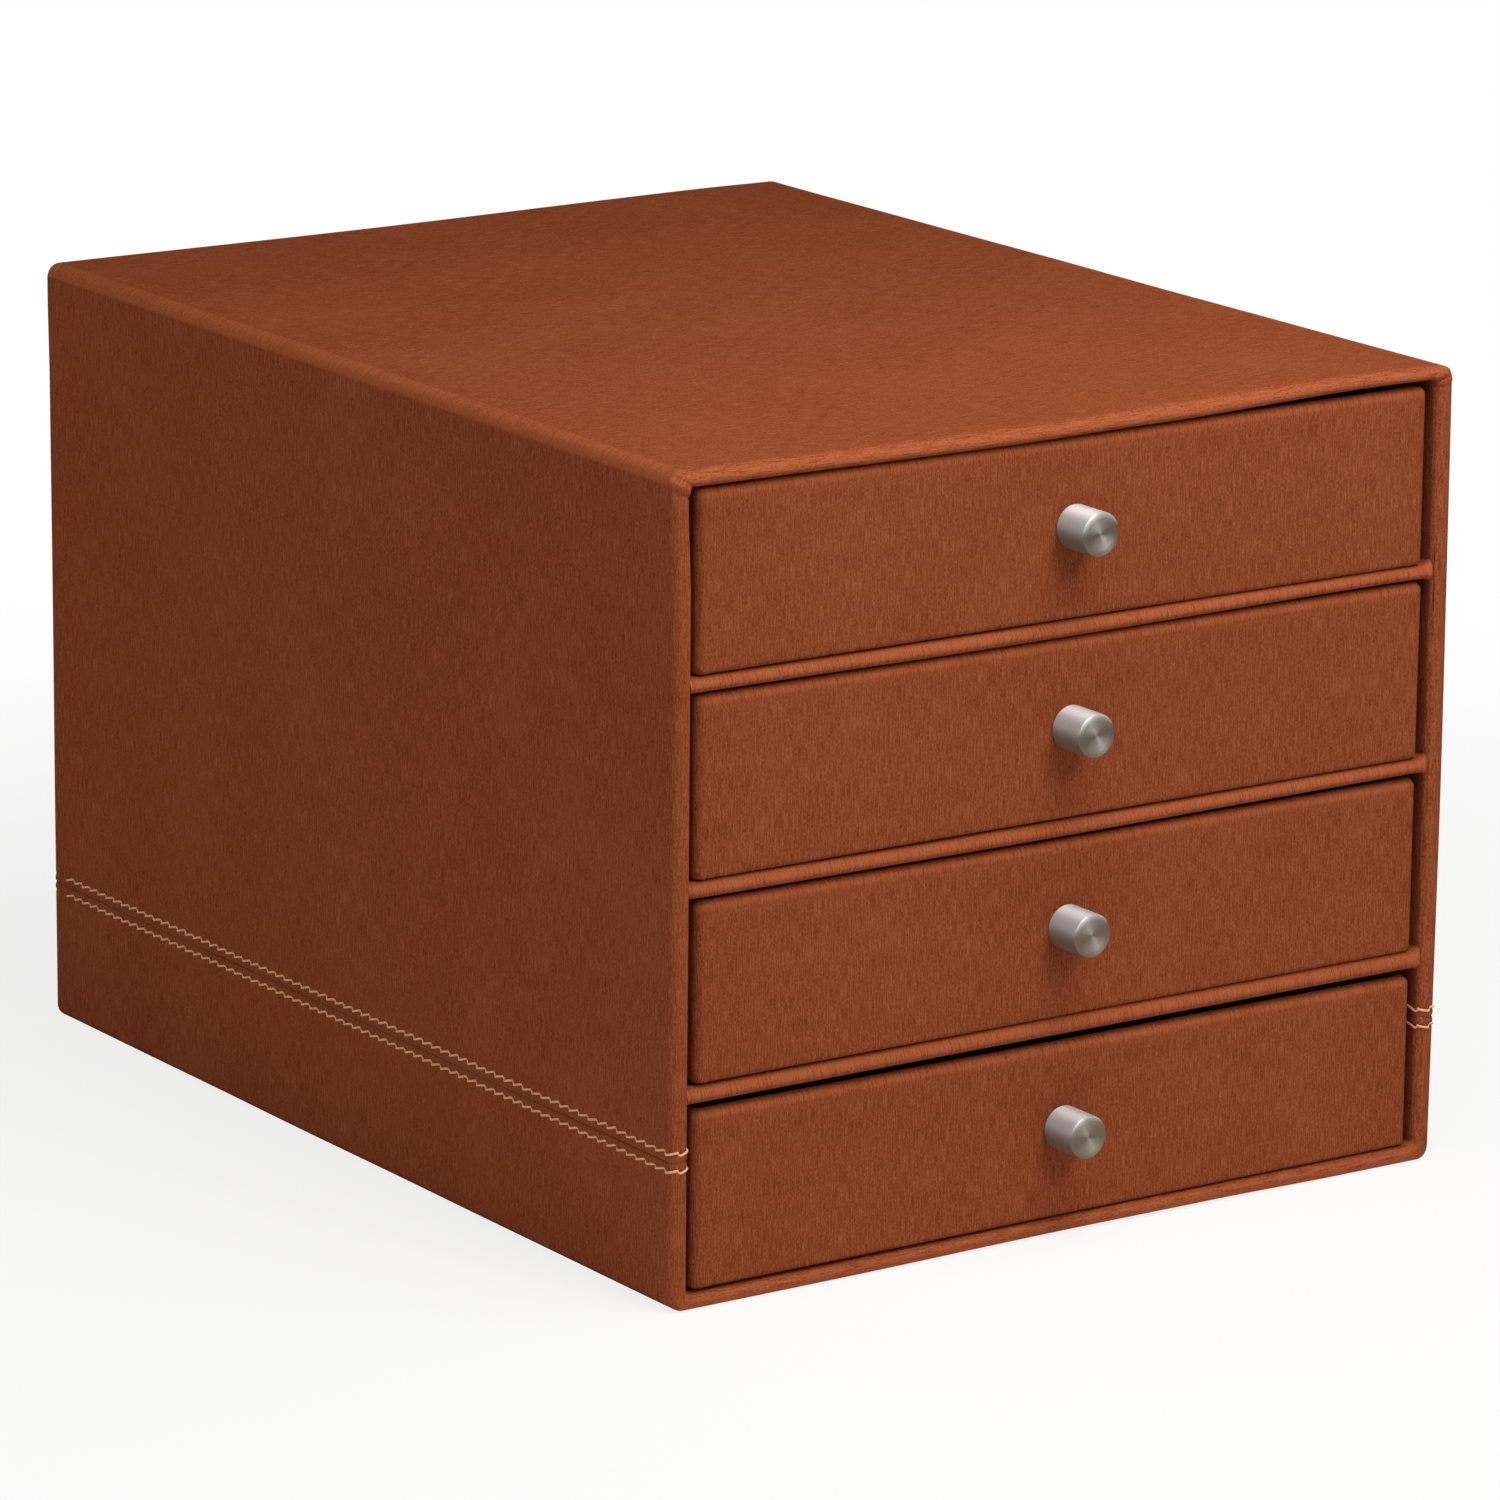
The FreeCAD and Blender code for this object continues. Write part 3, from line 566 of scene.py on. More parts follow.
def mouth_profile(depth, outer, inner):
    """Stations from inside the mouth to the rear, for the face that lies that deep, with the
    radii of its outer and inner front edge. Each is rate and offset, which give the way in from
    the wall's outside, then y, the direction of the face (inwards and along y), and whether it
    is measured to the rear turn."""
    rear, turned = REAR_EDGE - depth, REAR_TURN - depth
    front, back = FRONT + depth, BACK - depth
    turn_in = spread(TURN_IN_END, front + 3.5 * MM, 4 * MM) + [front + inner]
    stations = [(1, 0, y, 1, 0, 0) for y in turn_in]
    for cosine, sine in arc(7.5)[1:]:
        stations.append((1, inner * (cosine - 1), front + inner * (1 - sine), cosine, -sine, 0))
    for share in (0.75, 0.5, 0.25):
        stations.append((share, (1 - share) * outer - share * inner, front, 0, -1, 0))
    for cosine, sine in arc(7.5)[::-1]:
        stations.append((0, outer * (1 - cosine), front + outer * (1 - sine), -cosine, -sine, 0))
    outer_face = spread(front + 3.5 * MM, back - rear - 0.5 * MM, COARSE_STEP) + [back - rear]
    stations += [(0, 0, y, -1, 0, 0) for y in outer_face]
    for cosine, sine in arc(7.5)[1:]:
        stations.append((0, rear * (1 - cosine), back - rear * (1 - sine), -cosine, sine, 1))
    stations += [(0, way, back, 0, 1, 1) for way in (rear + 0.5 * MM, turned / 2, turned)]
    return np.array(stations)


# %% Where the line meets the profile


def boxed(points, half, far, upwards):
    """The nearest points, in x and z, that are no further out than half and far."""
    z = points[:, 1] * upwards
    return np.stack([np.clip(points[:, 0], -half, half), np.minimum(z, far * upwards) * upwards], 1)


def wrap_face(line, depth, upwards):
    """The grid of one face of a wrap, and the direction that each of its points looks in."""
    base, outward, lever = line[:, :2], line[:, 2:4], line[:, 4:]
    outer = base + outward * (lever - depth)
    cell_far, case_far = (CELL_TOP, TOP) if upwards > 0 else (CELL_FLOOR, UNDERSIDE)
    past = depth - MOUTH_CORNER
    inner = boxed(outer, CELL_HALF + past, cell_far + upwards * past, upwards)
    inner = inner + outward * MOUTH_CORNER
    turned = boxed(outer, HALF_WIDTH - REAR_TURN, case_far - upwards * REAR_TURN, upwards)
    edges = [LEFT_EDGES, RIGHT_EDGES, TOP_EDGES if upwards > 0 else BASE_EDGES]
    if depth:
        edges = [[radius - depth for radius in LEFT_EDGES]] * 3
    profiles = [mouth_profile(depth, *radii) for radii in edges]
    side, rising = outward[:, 0], outward[:, 1]
    portions = (side**2 * (side < 0), side**2 * (side > 0), rising**2)
    wall = np.linalg.norm(inner - outer, axis=1)[:, None]
    into_cell, onto_rear = (inner - outer) / wall, (turned - outer) / (REAR_TURN - depth)
    grid = np.zeros((len(line), len(profiles[0]), 3))
    looks = np.zeros_like(grid)
    for column, (rate, _, _, inwards, along_y, at_rear) in enumerate(profiles[0]):
        offset, y = (
            sum(portion * profile[column][i] for portion, profile in zip(portions, profiles))
            for i in (1, 2)
        )
        heading = onto_rear if at_rear else into_cell
        grid[:, column, ::2] = outer + heading * (rate * wall + offset[:, None])
        grid[:, column, 1] = y
        looks[:, column, ::2] = heading * inwards
        looks[:, column, 1] = along_y
    return grid, looks


# %% [markdown]
# ## The seam, and the folds at the corners
#
# Where the two wraps meet, each edge is rolled into the joint: a dark groove between two soft
# lips, with a shallow valley under each row of stitches, where the thread pulls the paper down.
#
# At the top corners of the mouth there is more paper than edge. It is folded into a small ear
# that runs from the outer corner down to the inner one, with a crease on each side. These are
# height fields, in metres along the direction that each point of the paper looks in.

# %% Seam and corner relief
SEAM_GAP, LIP_RADIUS = 0.20 * MM, 0.70 * MM
LIP_SHARE = 0.85
PAD_HEIGHT, PAD_PLACE, PAD_WIDTH = 0.12 * MM, 1.3 * MM, 0.8 * MM
STITCH_ROW = 2.5 * MM
VALLEY_DEPTH, VALLEY_WIDTH = 0.16 * MM, 0.45 * MM
# A crease beside a fold: its depth, place and width, as shares of the fold's.
CREASE_DEPTH, CREASE_PLACE, CREASE_WIDTH = 0.5, 1.45, 0.3


def bell(distance, width):
    """One at the middle, falling away smoothly over the width."""
    return np.exp(-((distance / width) ** 2))


def seam_relief(grid):
    """Rolled lips at the joint, soft pads beside it and valleys under the stitches."""
    away = np.abs(grid[..., 2] - SEAM)
    inside_lip = np.clip(LIP_RADIUS - away, 0, LIP_RADIUS)
    lip = LIP_RADIUS - np.sqrt(LIP_RADIUS**2 - inside_lip**2)
    pad = PAD_HEIGHT * bell(away - PAD_PLACE, PAD_WIDTH)
    valley = VALLEY_DEPTH * bell(away - STITCH_ROW, VALLEY_WIDTH)
    return pad - valley - LIP_SHARE * lip


def fold_relief(grid, outer_end, inner_end, width, height):
    """A pressed fold between two points of the front, given as x and z, with a crease each side."""
    start, end = np.array(outer_end), np.array(inner_end)
    length = np.linalg.norm(end - start)
    heading = (end - start) / length
    offset = grid[..., [0, 2]] - start
    along = offset @ heading / length
    beside = offset @ np.array([-heading[1], heading[0]])
    window = eased((along + 0.15) / 0.3) * eased((1.25 - along) / 0.25)
    near_front = eased((FRONT + 4.0 * MM - grid[..., 1]) / (2.5 * MM))
    crease = CREASE_DEPTH * bell(np.abs(beside) - CREASE_PLACE * width, CREASE_WIDTH * width)
    return height * (bell(beside, width) - crease) * window * near_front


def soft_relief(grid, amount=0.05 * MM, size=45 * MM):
    """Slow, slight unevenness of the glued paper."""
    x, y, z = (grid[..., i] / size for i in range(3))
    waves = np.sin(2.1 * x + 1.3 * z + 0.7) * np.sin(1.7 * y + 0.4) + 0.6 * np.sin(3.1 * y - 2.3 * z)
    return amount * waves


def corner_folds(grid):
    """The folds at the mouth's top corners: a full ear on the left, two small ones on the right."""
    left, right, inner = -HALF_WIDTH, HALF_WIDTH, CELL_HALF
    folds = (
        ((left - 0.6 * MM, TOP - 2.2 * MM), (left + 5.6 * MM, CELL_TOP - 1.2 * MM), 1.15, 0.55),
        ((right - 1.0 * MM, TOP - 1.2 * MM), (inner - 0.4 * MM, CELL_TOP + 0.3 * MM), 0.9, 0.3),
        ((right - 0.4 * MM, TOP - 4.6 * MM), (inner + 0.3 * MM, CELL_TOP - 1.5 * MM), 0.7, 0.2),
    )
    return sum(fold_relief(grid, *ends, width * MM, height * MM) for *ends, width, height in folds)


# %% Make the wraps
# How strongly the wraps' edges are painted paler, partly for wear and partly as a painted highlight: on the
# walls, on the top and base edges, on the long edges, and over what share of its turn a long edge gets its
# full strength.
WEAR_AND_HIGHLIGHT_WALL, WEAR_AND_HIGHLIGHT_BAND, WEAR_AND_HIGHLIGHT_LONG_EDGE, WEAR_AND_HIGHLIGHT_FADE = 0.35, 0.9, 0.9, 0.25

for node, upwards, far in (("upper_wrap", 1, TOP), ("lower_wrap", -1, UNDERSIDE)):
    start = SEAM + upwards * SEAM_GAP / 2
    line = wrap_line(start, far)
    outside, looks = wrap_face(line, 0, upwards)
    inside, _ = wrap_face(line, PAPER, upwards)
    relief = seam_relief(outside) + soft_relief(outside)
    if upwards > 0:
        relief = relief + corner_folds(outside)
    along = lengths(outside[:, outside.shape[1] // 2])
    across = lengths(outside[0])
    outside = outside + looks * relief[..., None]
    turned = np.abs(line[:, 3:4]) * (line[:, 4:5] > 0)
    # Top and base edges get the most painted highlight, the long edges by how far they have turned.
    strength = WEAR_AND_HIGHLIGHT_WALL + (WEAR_AND_HIGHLIGHT_BAND - WEAR_AND_HIGHLIGHT_WALL) * line[:, 3:4] ** 2
    wear_and_highlight = wear_and_highlight_share(looks, strength, WEAR_AND_HIGHLIGHT_LONG_EDGE * eased(turned / WEAR_AND_HIGHLIGHT_FADE))
    faces = settle(outside), settle(inside)
    lay_paper(node, "case", *faces, wear_and_highlight, along[:, None], across[None, :] + start)

# %% [markdown]
# ## The shelf covers
#
# Each shelf is a board wrapped front to back in the same paper, with its streaks across the
# narrow front edge. Its ends are glued between the walls, and where the end meets the right
# wall the paper flares out into a small fan. At the left end there is a fine crease, where the
# wrapping stops and a narrow end patch begins.

# %% Make the shelf covers
SHELF_NOSE, SHELF_UNDER = 2.80 * MM, 1.60 * MM
FAN_RISE, FAN_DROP, FAN_REACH = 1.5 * MM, 0.7 * MM, 1.1 * MM
END_PATCH = 1.2 * MM


def shelf_profile(low, high, depth):
    """Stations from the back, over the top and the front edge, to the back below: y, z, look."""
    nose, under = SHELF_NOSE - depth, SHELF_UNDER - depth
    front, top, bottom = low.y + depth, high.z - depth, low.z + depth
    flat = spread(high.y, front + nose + 0.5 * MM, 12 * MM) + [front + nose]
    stations = [(y, top, 0, 1) for y in flat]
    for cosine, sine in arc(7.5)[1:]:
        stations.append((front + nose * (1 - sine), top - nose * (1 - cosine), -sine, cosine))
    for cosine, sine in arc(7.5)[::-1]:
        stations.append((front + under * (1 - sine), bottom + under * (1 - cosine), -sine, -cosine))
    return np.array(stations + [(y, bottom, 0, -1) for y in flat[-2::-1]])


for node in SHELVES:
    low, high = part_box(node)
    places = joined(
        spread(low.x, low.x + 4 * MM, 0.12 * MM),
        spread(low.x + 4 * MM, high.x - 7 * MM, 4 * MM),
        spread(high.x - 7 * MM, high.x, 0.2 * MM),
    )
    outer, inner = (shelf_profile(low, high, depth) for depth in (0, PAPER))
    outside, inside, looks = np.zeros((3, len(places), len(outer), 3))
    outside[..., 0] = inside[..., 0] = places[:, None]
    outside[..., 1:], inside[..., 1:], looks[..., 1:] = outer[:, :2], inner[:, :2], outer[:, 2:]
    crease = 0.20 * MM * bell(outside[..., 0] - low.x - END_PATCH, 0.16 * MM)
    relief = soft_relief(outside, 0.04 * MM, 30 * MM) - crease
    outside = outside + looks * relief[..., None]
    near_front = eased((low.y + 6 * MM - outside[..., 1]) / (5 * MM))
    fan = np.exp(-(((high.x - outside[..., 0]) / FAN_REACH) ** 1.3)) * near_front
    upper = outside[..., 2] > (low.z + high.z) / 2
    outside[..., 2] += fan * np.where(upper, FAN_RISE, -FAN_DROP)
    # The shelf's nose is painted paler: partly wear, partly a painted highlight.
    wear_and_highlight = wear_and_highlight_share(looks, WEAR_AND_HIGHLIGHT_BAND)
    faces, along = (settle(outside), settle(inside)), lengths(outer[:, :2])
    lay_paper(node, "case", *faces, wear_and_highlight, along[None, :], places[:, None] + low.z * 7)

# %% [markdown]
# ## The boards, the linings and the back
#
# The boards and the flat linings already have the right shape in the frame. They only have to
# settle with the case. A frame node is never changed, so each is copied, its loose triangles
# are merged, and it is cut into strips that can bend before its points are moved.

# %% Settle the flat pieces of the case
CUT_EVERY = 18 * MM


def settle_copy(node, body, slot, bend):
    """Copies a CAD node's mesh, cuts it finely enough to bend, bends it and takes its place."""
    work = bmesh.new()
    work.from_mesh(nodes[node].data)
    bmesh.ops.remove_doubles(work, verts=work.verts, dist=0.002 * MM)
    low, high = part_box(node)
    for axis in range(3):
        direction = np.eye(3)[axis]
        for place in spread(low[axis], high[axis], CUT_EVERY)[1:-1]:
            everything = work.verts[:] + work.edges[:] + work.faces[:]
            point = direction * place
            bmesh.ops.bisect_plane(work, geom=everything, plane_co=point, plane_no=direction)
    for vertex, place in zip(work.verts, bend(np.array([vertex.co for vertex in work.verts]))):
        vertex.co = place
    mesh = bpy.data.meshes.new(node)
    work.to_mesh(mesh)
    work.free()
    finish_piece(node + "_settled", mesh, slot, body, node, smooth_angle=20)
    return mesh


for node in members["case"]:
    if node.endswith("_board"):
        settle_copy(node, "case", "greyboard", settle)
    elif node.endswith("_lining"):
        settle_copy(node, "case", "lining_paper", settle)
    elif node.endswith("_sheet"):
        mesh = settle_copy(node, "case", "cover_paper", settle)
        along = 2 if node == "back_sheet" else 1
        places = np.array([vertex.co for vertex in mesh.vertices])[:, [0, along]]
        lay_map(mesh, "sheet", places + [0.3, 0])

# %% [markdown]
# ## The drawer covers
#
# A drawer is a tray of thin board. One strip of paper goes round its four sides, is folded
# 12 mm down the inside over the rim, and under the base. Its streaks run up and down.
#
# Seen from above the cover is a rounded ring, which starts at the middle of the back so that
# the joint of the strip is where a bookbinder would hide it. Seen from the side it is a
# profile: up the inside, over the rim, down the outside, round the bottom edge and in under the
# base, where the ring shrinks to a line and closes.

# %% The ring and the profile of a drawer's cover
DRAWER_WALL, DRAWER_TURN_IN = 3.5 * MM, 12 * MM
DRAWER_EDGE, DRAWER_RIM, DRAWER_BASE = 2.48 * MM, 0.91 * MM, 1.80 * MM
RING_ZONE, RING_FINE, RING_COARSE = 6 * MM, 0.5 * MM, 8 * MM


def ring_line(low, high):
    """Stations round a drawer seen from above: base x, base y, outward x, outward y, lever."""
    half = (high.x - low.x) / 2 - DRAWER_EDGE
    deep = high.y - low.y - 2 * DRAWER_EDGE
    side_run = joined(
        spread(0, RING_ZONE, RING_FINE),
        spread(RING_ZONE, deep - RING_ZONE, RING_COARSE),
        spread(deep - RING_ZONE, deep, RING_FINE),
    )
    half_run = joined(
        spread(0, half - RING_ZONE, RING_COARSE), spread(half - RING_ZONE, half, RING_FINE)
    )
    front_y, back_y = low.y + DRAWER_EDGE, high.y - DRAWER_EDGE
    stations = [(x, high.y, 0, 1, 0) for x in half_run[:-1]]
    stations += [(half, back_y, sine, cosine, DRAWER_EDGE) for cosine, sine in arc(7.5)]
    stations += [(half + DRAWER_EDGE, back_y - place, 1, 0, 0) for place in side_run[1:-1]]
    stations += [(half, front_y, cosine, -sine, DRAWER_EDGE) for cosine, sine in arc(7.5)]
    stations += [(x, low.y, 0, -1, 0) for x in half_run[-2::-1]]
    mirrored = [(-x, y, -side, facing, lever) for x, y, side, facing, lever in stations[-2::-1]]
    ring = np.array(stations + mirrored)
    ring[:, 0] += (high.x + low.x) / 2
    return ring


def tray_profile(low, high, depth):
    """Stations from the end of the turn-in, over the rim, to the middle of the underside.
    Each is rate, offset, z, the look (inwards and up), and the inset under the base or -1."""
    outer, inner, lowest = DRAWER_EDGE - depth, DRAWER_RIM - depth, DRAWER_BASE - depth
    rim, base = high.z - depth, low.z + depth
    turned_end = high.z - PAPER - DRAWER_TURN_IN
    stations = [(1, 0, z, 1, 0, -1) for z in spread(turned_end, rim - inner, 4 * MM)]
    for cosine, sine in arc(9)[1:]:
        stations.append((1, inner * (cosine - 1), rim - inner * (1 - sine), cosine, sine, -1))
    for cosine, sine in arc(9)[::-1]:
        stations.append((0, outer * (1 - cosine), rim - outer * (1 - sine), -cosine, sine, -1))
    face = joined(
        spread(rim - outer - 0.5 * MM, base + lowest + 4 * MM, 4 * MM),
        spread(base + lowest + 4 * MM, base + lowest, 0.4 * MM),
    )
    stations += [(0, 0, z, -1, 0, -1) for z in face]
    for cosine, sine in arc(9)[1:]:
        stations.append((0, lowest * (1 - cosine), base + lowest * (1 - sine), -cosine, -sine, -1))
    half = (high.x - low.x) / 2
    insets = (DRAWER_EDGE + 0.5 * MM, 0.3 * half, half)
    return np.array(stations + [(0, 0, base, 0, -1, inset) for inset in insets])


def tray_face(low, high, ring, depth):
    """The grid of one face of a drawer's cover, and the direction that each point looks in."""
    base, outward, lever = ring[:, :2], ring[:, 2:4], ring[:, 4:]
    outer = base + outward * (lever - depth)
    corner = 0.4 * MM

    def inset_by(inset):
        return np.clip(outer, [low.x + inset, low.y + inset], [high.x - inset, high.y - inset])

    inner = inset_by(DRAWER_WALL - depth + corner) + outward * corner
    wall = np.linalg.norm(inner - outer, axis=1)[:, None]
    heading = (inner - outer) / wall
    profile = tray_profile(low, high, depth)
    grid = np.zeros((len(ring), len(profile), 3))
    looks = np.zeros_like(grid)
    for column, (rate, offset, z, inwards, rising, inset) in enumerate(profile):
        place = outer + heading * (rate * wall + offset)
        if inset >= 0:
            place = inset_by(inset)
        elif rate == 0 and rising < 0:
            place = base + outward * (lever - depth - offset)
        grid[:, column, :2], grid[:, column, 2] = place, z
        looks[:, column, :2], looks[:, column, 2] = heading * inwards, rising
    return grid, looks


# %% [markdown]
# A drawer settles too. Its rim sinks or rises by a few lifts, as the case does, and its two
# sides stand a little to the right of where they were drawn, most at the front.

# %% The settling of the drawers
RIM_LIFTS = {
    "bottom_drawer": ((0.0, -0.5), (0.45, -0.6), (0.9, -0.5), (1.0, -0.5)),
    "lower_drawer": ((0.0, -0.2), (0.42, -0.4), (0.9, -0.1), (1.0, -0.1)),
    "upper_drawer": ((0.0, -0.2), (0.42, -0.2), (0.85, 0.4), (1.0, 0.4)),
    "top_drawer": ((0.0, -0.3), (0.48, -0.4), (0.85, 0.1), (1.0, 0.2)),
}
SIDE_SHIFTS = {
    "bottom_drawer": (1.8, 0.6),
    "lower_drawer": (2.3, 0.6),
    "upper_drawer": (1.7, 0.7),
    "top_drawer": (1.6, 0.2),
}
SIDE_ZONE = 0.3


def settle_drawer(points, body):
    """Bows a drawer's rim and its two sides near the front, and leaves its base on the shelf."""
    low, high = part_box(body + "_cover")
    x, y, z = points[..., 0], points[..., 1], points[..., 2]
    share = np.clip((x - low.x) / (high.x - low.x), 0, 1)
    rising = eased((z - low.z) / (high.z - low.z))
    near_front = np.exp(-np.maximum(y - low.y, 0) / SETTLING_REACH)
    left, right = SIDE_SHIFTS[body]
    sideways = left * eased((SIDE_ZONE - share) / SIDE_ZONE)
    sideways += right * eased((share - 1 + SIDE_ZONE) / SIDE_ZONE)
    moved = points.copy()
    moved[..., 0] += sideways * MM * near_front
    moved[..., 2] += lift_at(RIM_LIFTS[body], share) * rising * near_front
    return moved


print("side shifts in mm:", SIDE_SHIFTS)

# %% Make the drawer covers
TUCK_WIDTH, TUCK_HEIGHT = 0.55 * MM, 0.18 * MM
# How far a drawer's rim is painted paler, partly for wear and partly as a painted highlight.
WEAR_AND_HIGHLIGHT_RIM = 0.8

for number, body in enumerate(sorted(drawers)):
    low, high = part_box(body + "_cover")
    ring = ring_line(low, high)
    outside, looks = tray_face(low, high, ring, 0)
    inside, _ = tray_face(low, high, ring, PAPER)
    across = lengths(outside[:, outside.shape[1] // 2])
    along = lengths(outside[0])
    tuck = ((low.x + 0.2 * MM, low.z + 3.2 * MM), (low.x + 3.4 * MM, low.z + 0.3 * MM))
    relief = soft_relief(outside + [0, 0, 0.11 * number], size=40 * MM)
    relief += fold_relief(outside - [0, low.y - FRONT, 0], *tuck, TUCK_WIDTH, TUCK_HEIGHT)
    # Only the top of the sides near the rim is painted paler: partly wear, partly a painted highlight.
    rim = eased((outside[..., 2] - high.z + DRAWER_EDGE + 0.8 * MM) / (0.8 * MM))
    outside = outside + looks * relief[..., None]
    faces = settle_drawer(outside, body), settle_drawer(inside, body)
    wear_and_highlight = wear_and_highlight_share(looks, WEAR_AND_HIGHLIGHT_RIM * rim)
    places = along[None, :], across[:, None] + (1 + number)
    lay_paper(body + "_cover", body, *faces, wear_and_highlight, *places, ["first_column"])

# %% [markdown]
# ## What the covers hide
#
# The boards and the lining of a drawer have to bend with its cover, so they are copied, cut and
# bent in the same way as the flat pieces of the case.

# %% Settle the boards and linings of the drawers
for body in drawers:
    for node in members[body]:
        for ending, slot in (("_board", "greyboard"), ("_lining", "lining_paper")):
            if node.endswith(ending):
                settle_copy(node, body, slot, partial(settle_drawer, body=body))

# %% [markdown]
# ## The stitches
#
# Two rows of thread run beside the seam on each side wall, round the mouth's edge and into the
# cell. Sewn thread never lies straight: between two holes it climbs gently, and at the hole it
# drops back and dives into the paper. So the row reads as a saw-tooth.
#
# Stitches repeat along a path, which is work for Geometry Nodes. The tree takes a line that
# knows which way the paper faces, walks along it in small steps, works out how far each step
# is through its stitch, and moves it sideways and inwards by two drawn curves. Then it sweeps a
# round thread along the result. A small random share makes some stitches steeper than others.

# %% The stitching tree
STITCH_PITCH, STITCH_RISE = 4.7 * MM, 1.15 * MM
THREAD_DIAMETER = 0.68 * MM
THREAD_SEAT, ROW_END = 0.12 * MM, 2.5 * MM
STITCH_SHAPE = {
    "climb": ((0.0, 0.0), (0.84, 1.0), (1.0, 0.0)),
    "dive": ((0.0, 0.3), (0.08, 0.0), (0.78, 0.0), (0.92, 1.0), (1.0, 0.3)),
}
STITCH_INPUTS = {
    "Line": "Geometry",
    "Pitch": "Float",
    "Rise": "Float",
    "Dive": "Float",
    "Thread Radius": "Float",
    "Steps per Stitch": "Int",
    "Seed": "Int",
    "Thread": "Material",
}


def stitching_tree():
    """A Geometry Nodes tree that sews a row of stitches along a line."""
    tree = bpy.data.node_groups.new("sewn_row", "GeometryNodeTree")
    for name, kind in STITCH_INPUTS.items():
        tree.interface.new_socket(name, in_out="INPUT", socket_type="NodeSocket" + kind)
    tree.interface.new_socket("Sewn", in_out="OUTPUT", socket_type="NodeSocketGeometry")
    given = tree.nodes.new("NodeGroupInput").outputs
    add = partial(add_node, tree)

    step = add("ShaderNodeMath", {0: given["Pitch"], 1: given["Steps per Stitch"]}, operation="DIVIDE")
    curve = add("GeometryNodeMeshToCurve", {"Mesh": given["Line"]})
    curve = add("GeometryNodeResampleCurve", {"Curve": curve, "Length": step}, mode="LENGTH")
    gone = add("GeometryNodeSplineParameter").node.outputs["Length"]
    stitches = add("ShaderNodeMath", {0: gone, 1: given["Pitch"]}, operation="DIVIDE")
    number = add("ShaderNodeMath", {0: stitches}, operation="FLOOR")
    share = add("ShaderNodeMath", {0: stitches}, operation="FRACT")
    chance = {"Min": 0.82, "Max": 1.12, "ID": number, "Seed": given["Seed"]}
    chance = add("FunctionNodeRandomValue", chance, data_type="FLOAT")

    drawn = {}
    for part, points in STITCH_SHAPE.items():
        drawn[part] = add("ShaderNodeFloatCurve", {"Value": share})
        mapping = drawn[part].node.mapping
        first, last = mapping.curves[0].points
        first.location, last.location = points[0], points[-1]
        for point in points[1:-1]:
            mapping.curves[0].points.new(*point)
        for point in mapping.curves[0].points:
            point.handle_type = "VECTOR"
        mapping.update()
    climb = add("ShaderNodeMath", {0: drawn["climb"], 1: chance, 2: -0.5}, operation="MULTIPLY_ADD")
    sideways = add("ShaderNodeMath", {0: climb, 1: given["Rise"]}, operation="MULTIPLY")
    dive = add("ShaderNodeMath", {0: drawn["dive"], 1: given["Dive"]}, operation="MULTIPLY")
    look = add("GeometryNodeInputNamedAttribute", {"Name": "look"}, data_type="FLOAT_VECTOR")
    inwards = add("ShaderNodeVectorMath", {"Vector": look, "Scale": dive}, operation="SCALE")
    upwards = add("ShaderNodeCombineXYZ", {"Z": sideways})
    offset = add("ShaderNodeVectorMath", {0: upwards, 1: inwards}, operation="SUBTRACT")
    curve = add("GeometryNodeSetPosition", {"Geometry": curve, "Offset": offset})
    section = {"Resolution": 8, "Radius": given["Thread Radius"]}
    section = add("GeometryNodeCurvePrimitiveCircle", section, mode="RADIUS")
    sewn = {"Curve": curve, "Profile Curve": section, "Fill Caps": True}
    sewn = add("GeometryNodeCurveToMesh", sewn)
    sewn = add("GeometryNodeRealizeInstances", {"Geometry": sewn})
    sewn = add("GeometryNodeSetMaterial", {"Geometry": sewn, "Material": given["Thread"]})
    add("NodeGroupOutput", {"Sewn": sewn})
    return tree


def run_tree(name, mesh, tree, inputs):
    """Runs a Geometry Nodes tree on a mesh and returns the plain mesh that it makes."""
    carrier = bpy.data.objects.new(name + "_line", mesh)
    link(carrier)
    modifier = carrier.modifiers.new("nodes", "NODES")
    modifier.node_group = tree
    for item in tree.interface.items_tree:
        if item.in_out == "INPUT" and item.name in inputs:
            modifier[item.identifier] = inputs[item.name]
    bpy.context.view_layer.update()
    evaluated = carrier.evaluated_get(bpy.context.evaluated_depsgraph_get())
    made = bpy.data.meshes.new_from_object(evaluated)
    carrier.modifiers.remove(modifier)
    bpy.data.objects.remove(carrier)
    made.name = name
    return made


# %% Sew the two sides
sewn_row = stitching_tree()
stitch_sizes = {
    "Pitch": STITCH_PITCH,
    "Rise": STITCH_RISE,
    "Dive": 0.85 * THREAD_DIAMETER,
    "Thread Radius": THREAD_DIAMETER / 2,
    "Steps per Stitch": 14,
    "Thread": finishes["stitching_thread"],
}


def row_lines(side):
    """The lines of the two rows on one wall, from the back, round the mouth and inside."""
    profile = mouth_profile(0, *LEFT_EDGES)[::-1]
    profile = [s for s in profile if not s[5] and s[2] < BACK - ROW_END]
    wall = HALF_WIDTH - CELL_HALF
    points, looks, edges = [], [], []
    for height in (SEAM - STITCH_ROW, SEAM + STITCH_ROW):
        first = len(points)
        for rate, offset, y, inwards, along_y, _ in profile:
            x = side * (HALF_WIDTH - rate * wall - offset)
            looks.append(np.array([-side * inwards, along_y, 0.0]))
            points.append(np.array([x, y, height]) + looks[-1] * THREAD_SEAT)
        edges += [(i, i + 1) for i in range(first, len(points) - 1)]
    return settle(points), looks, edges


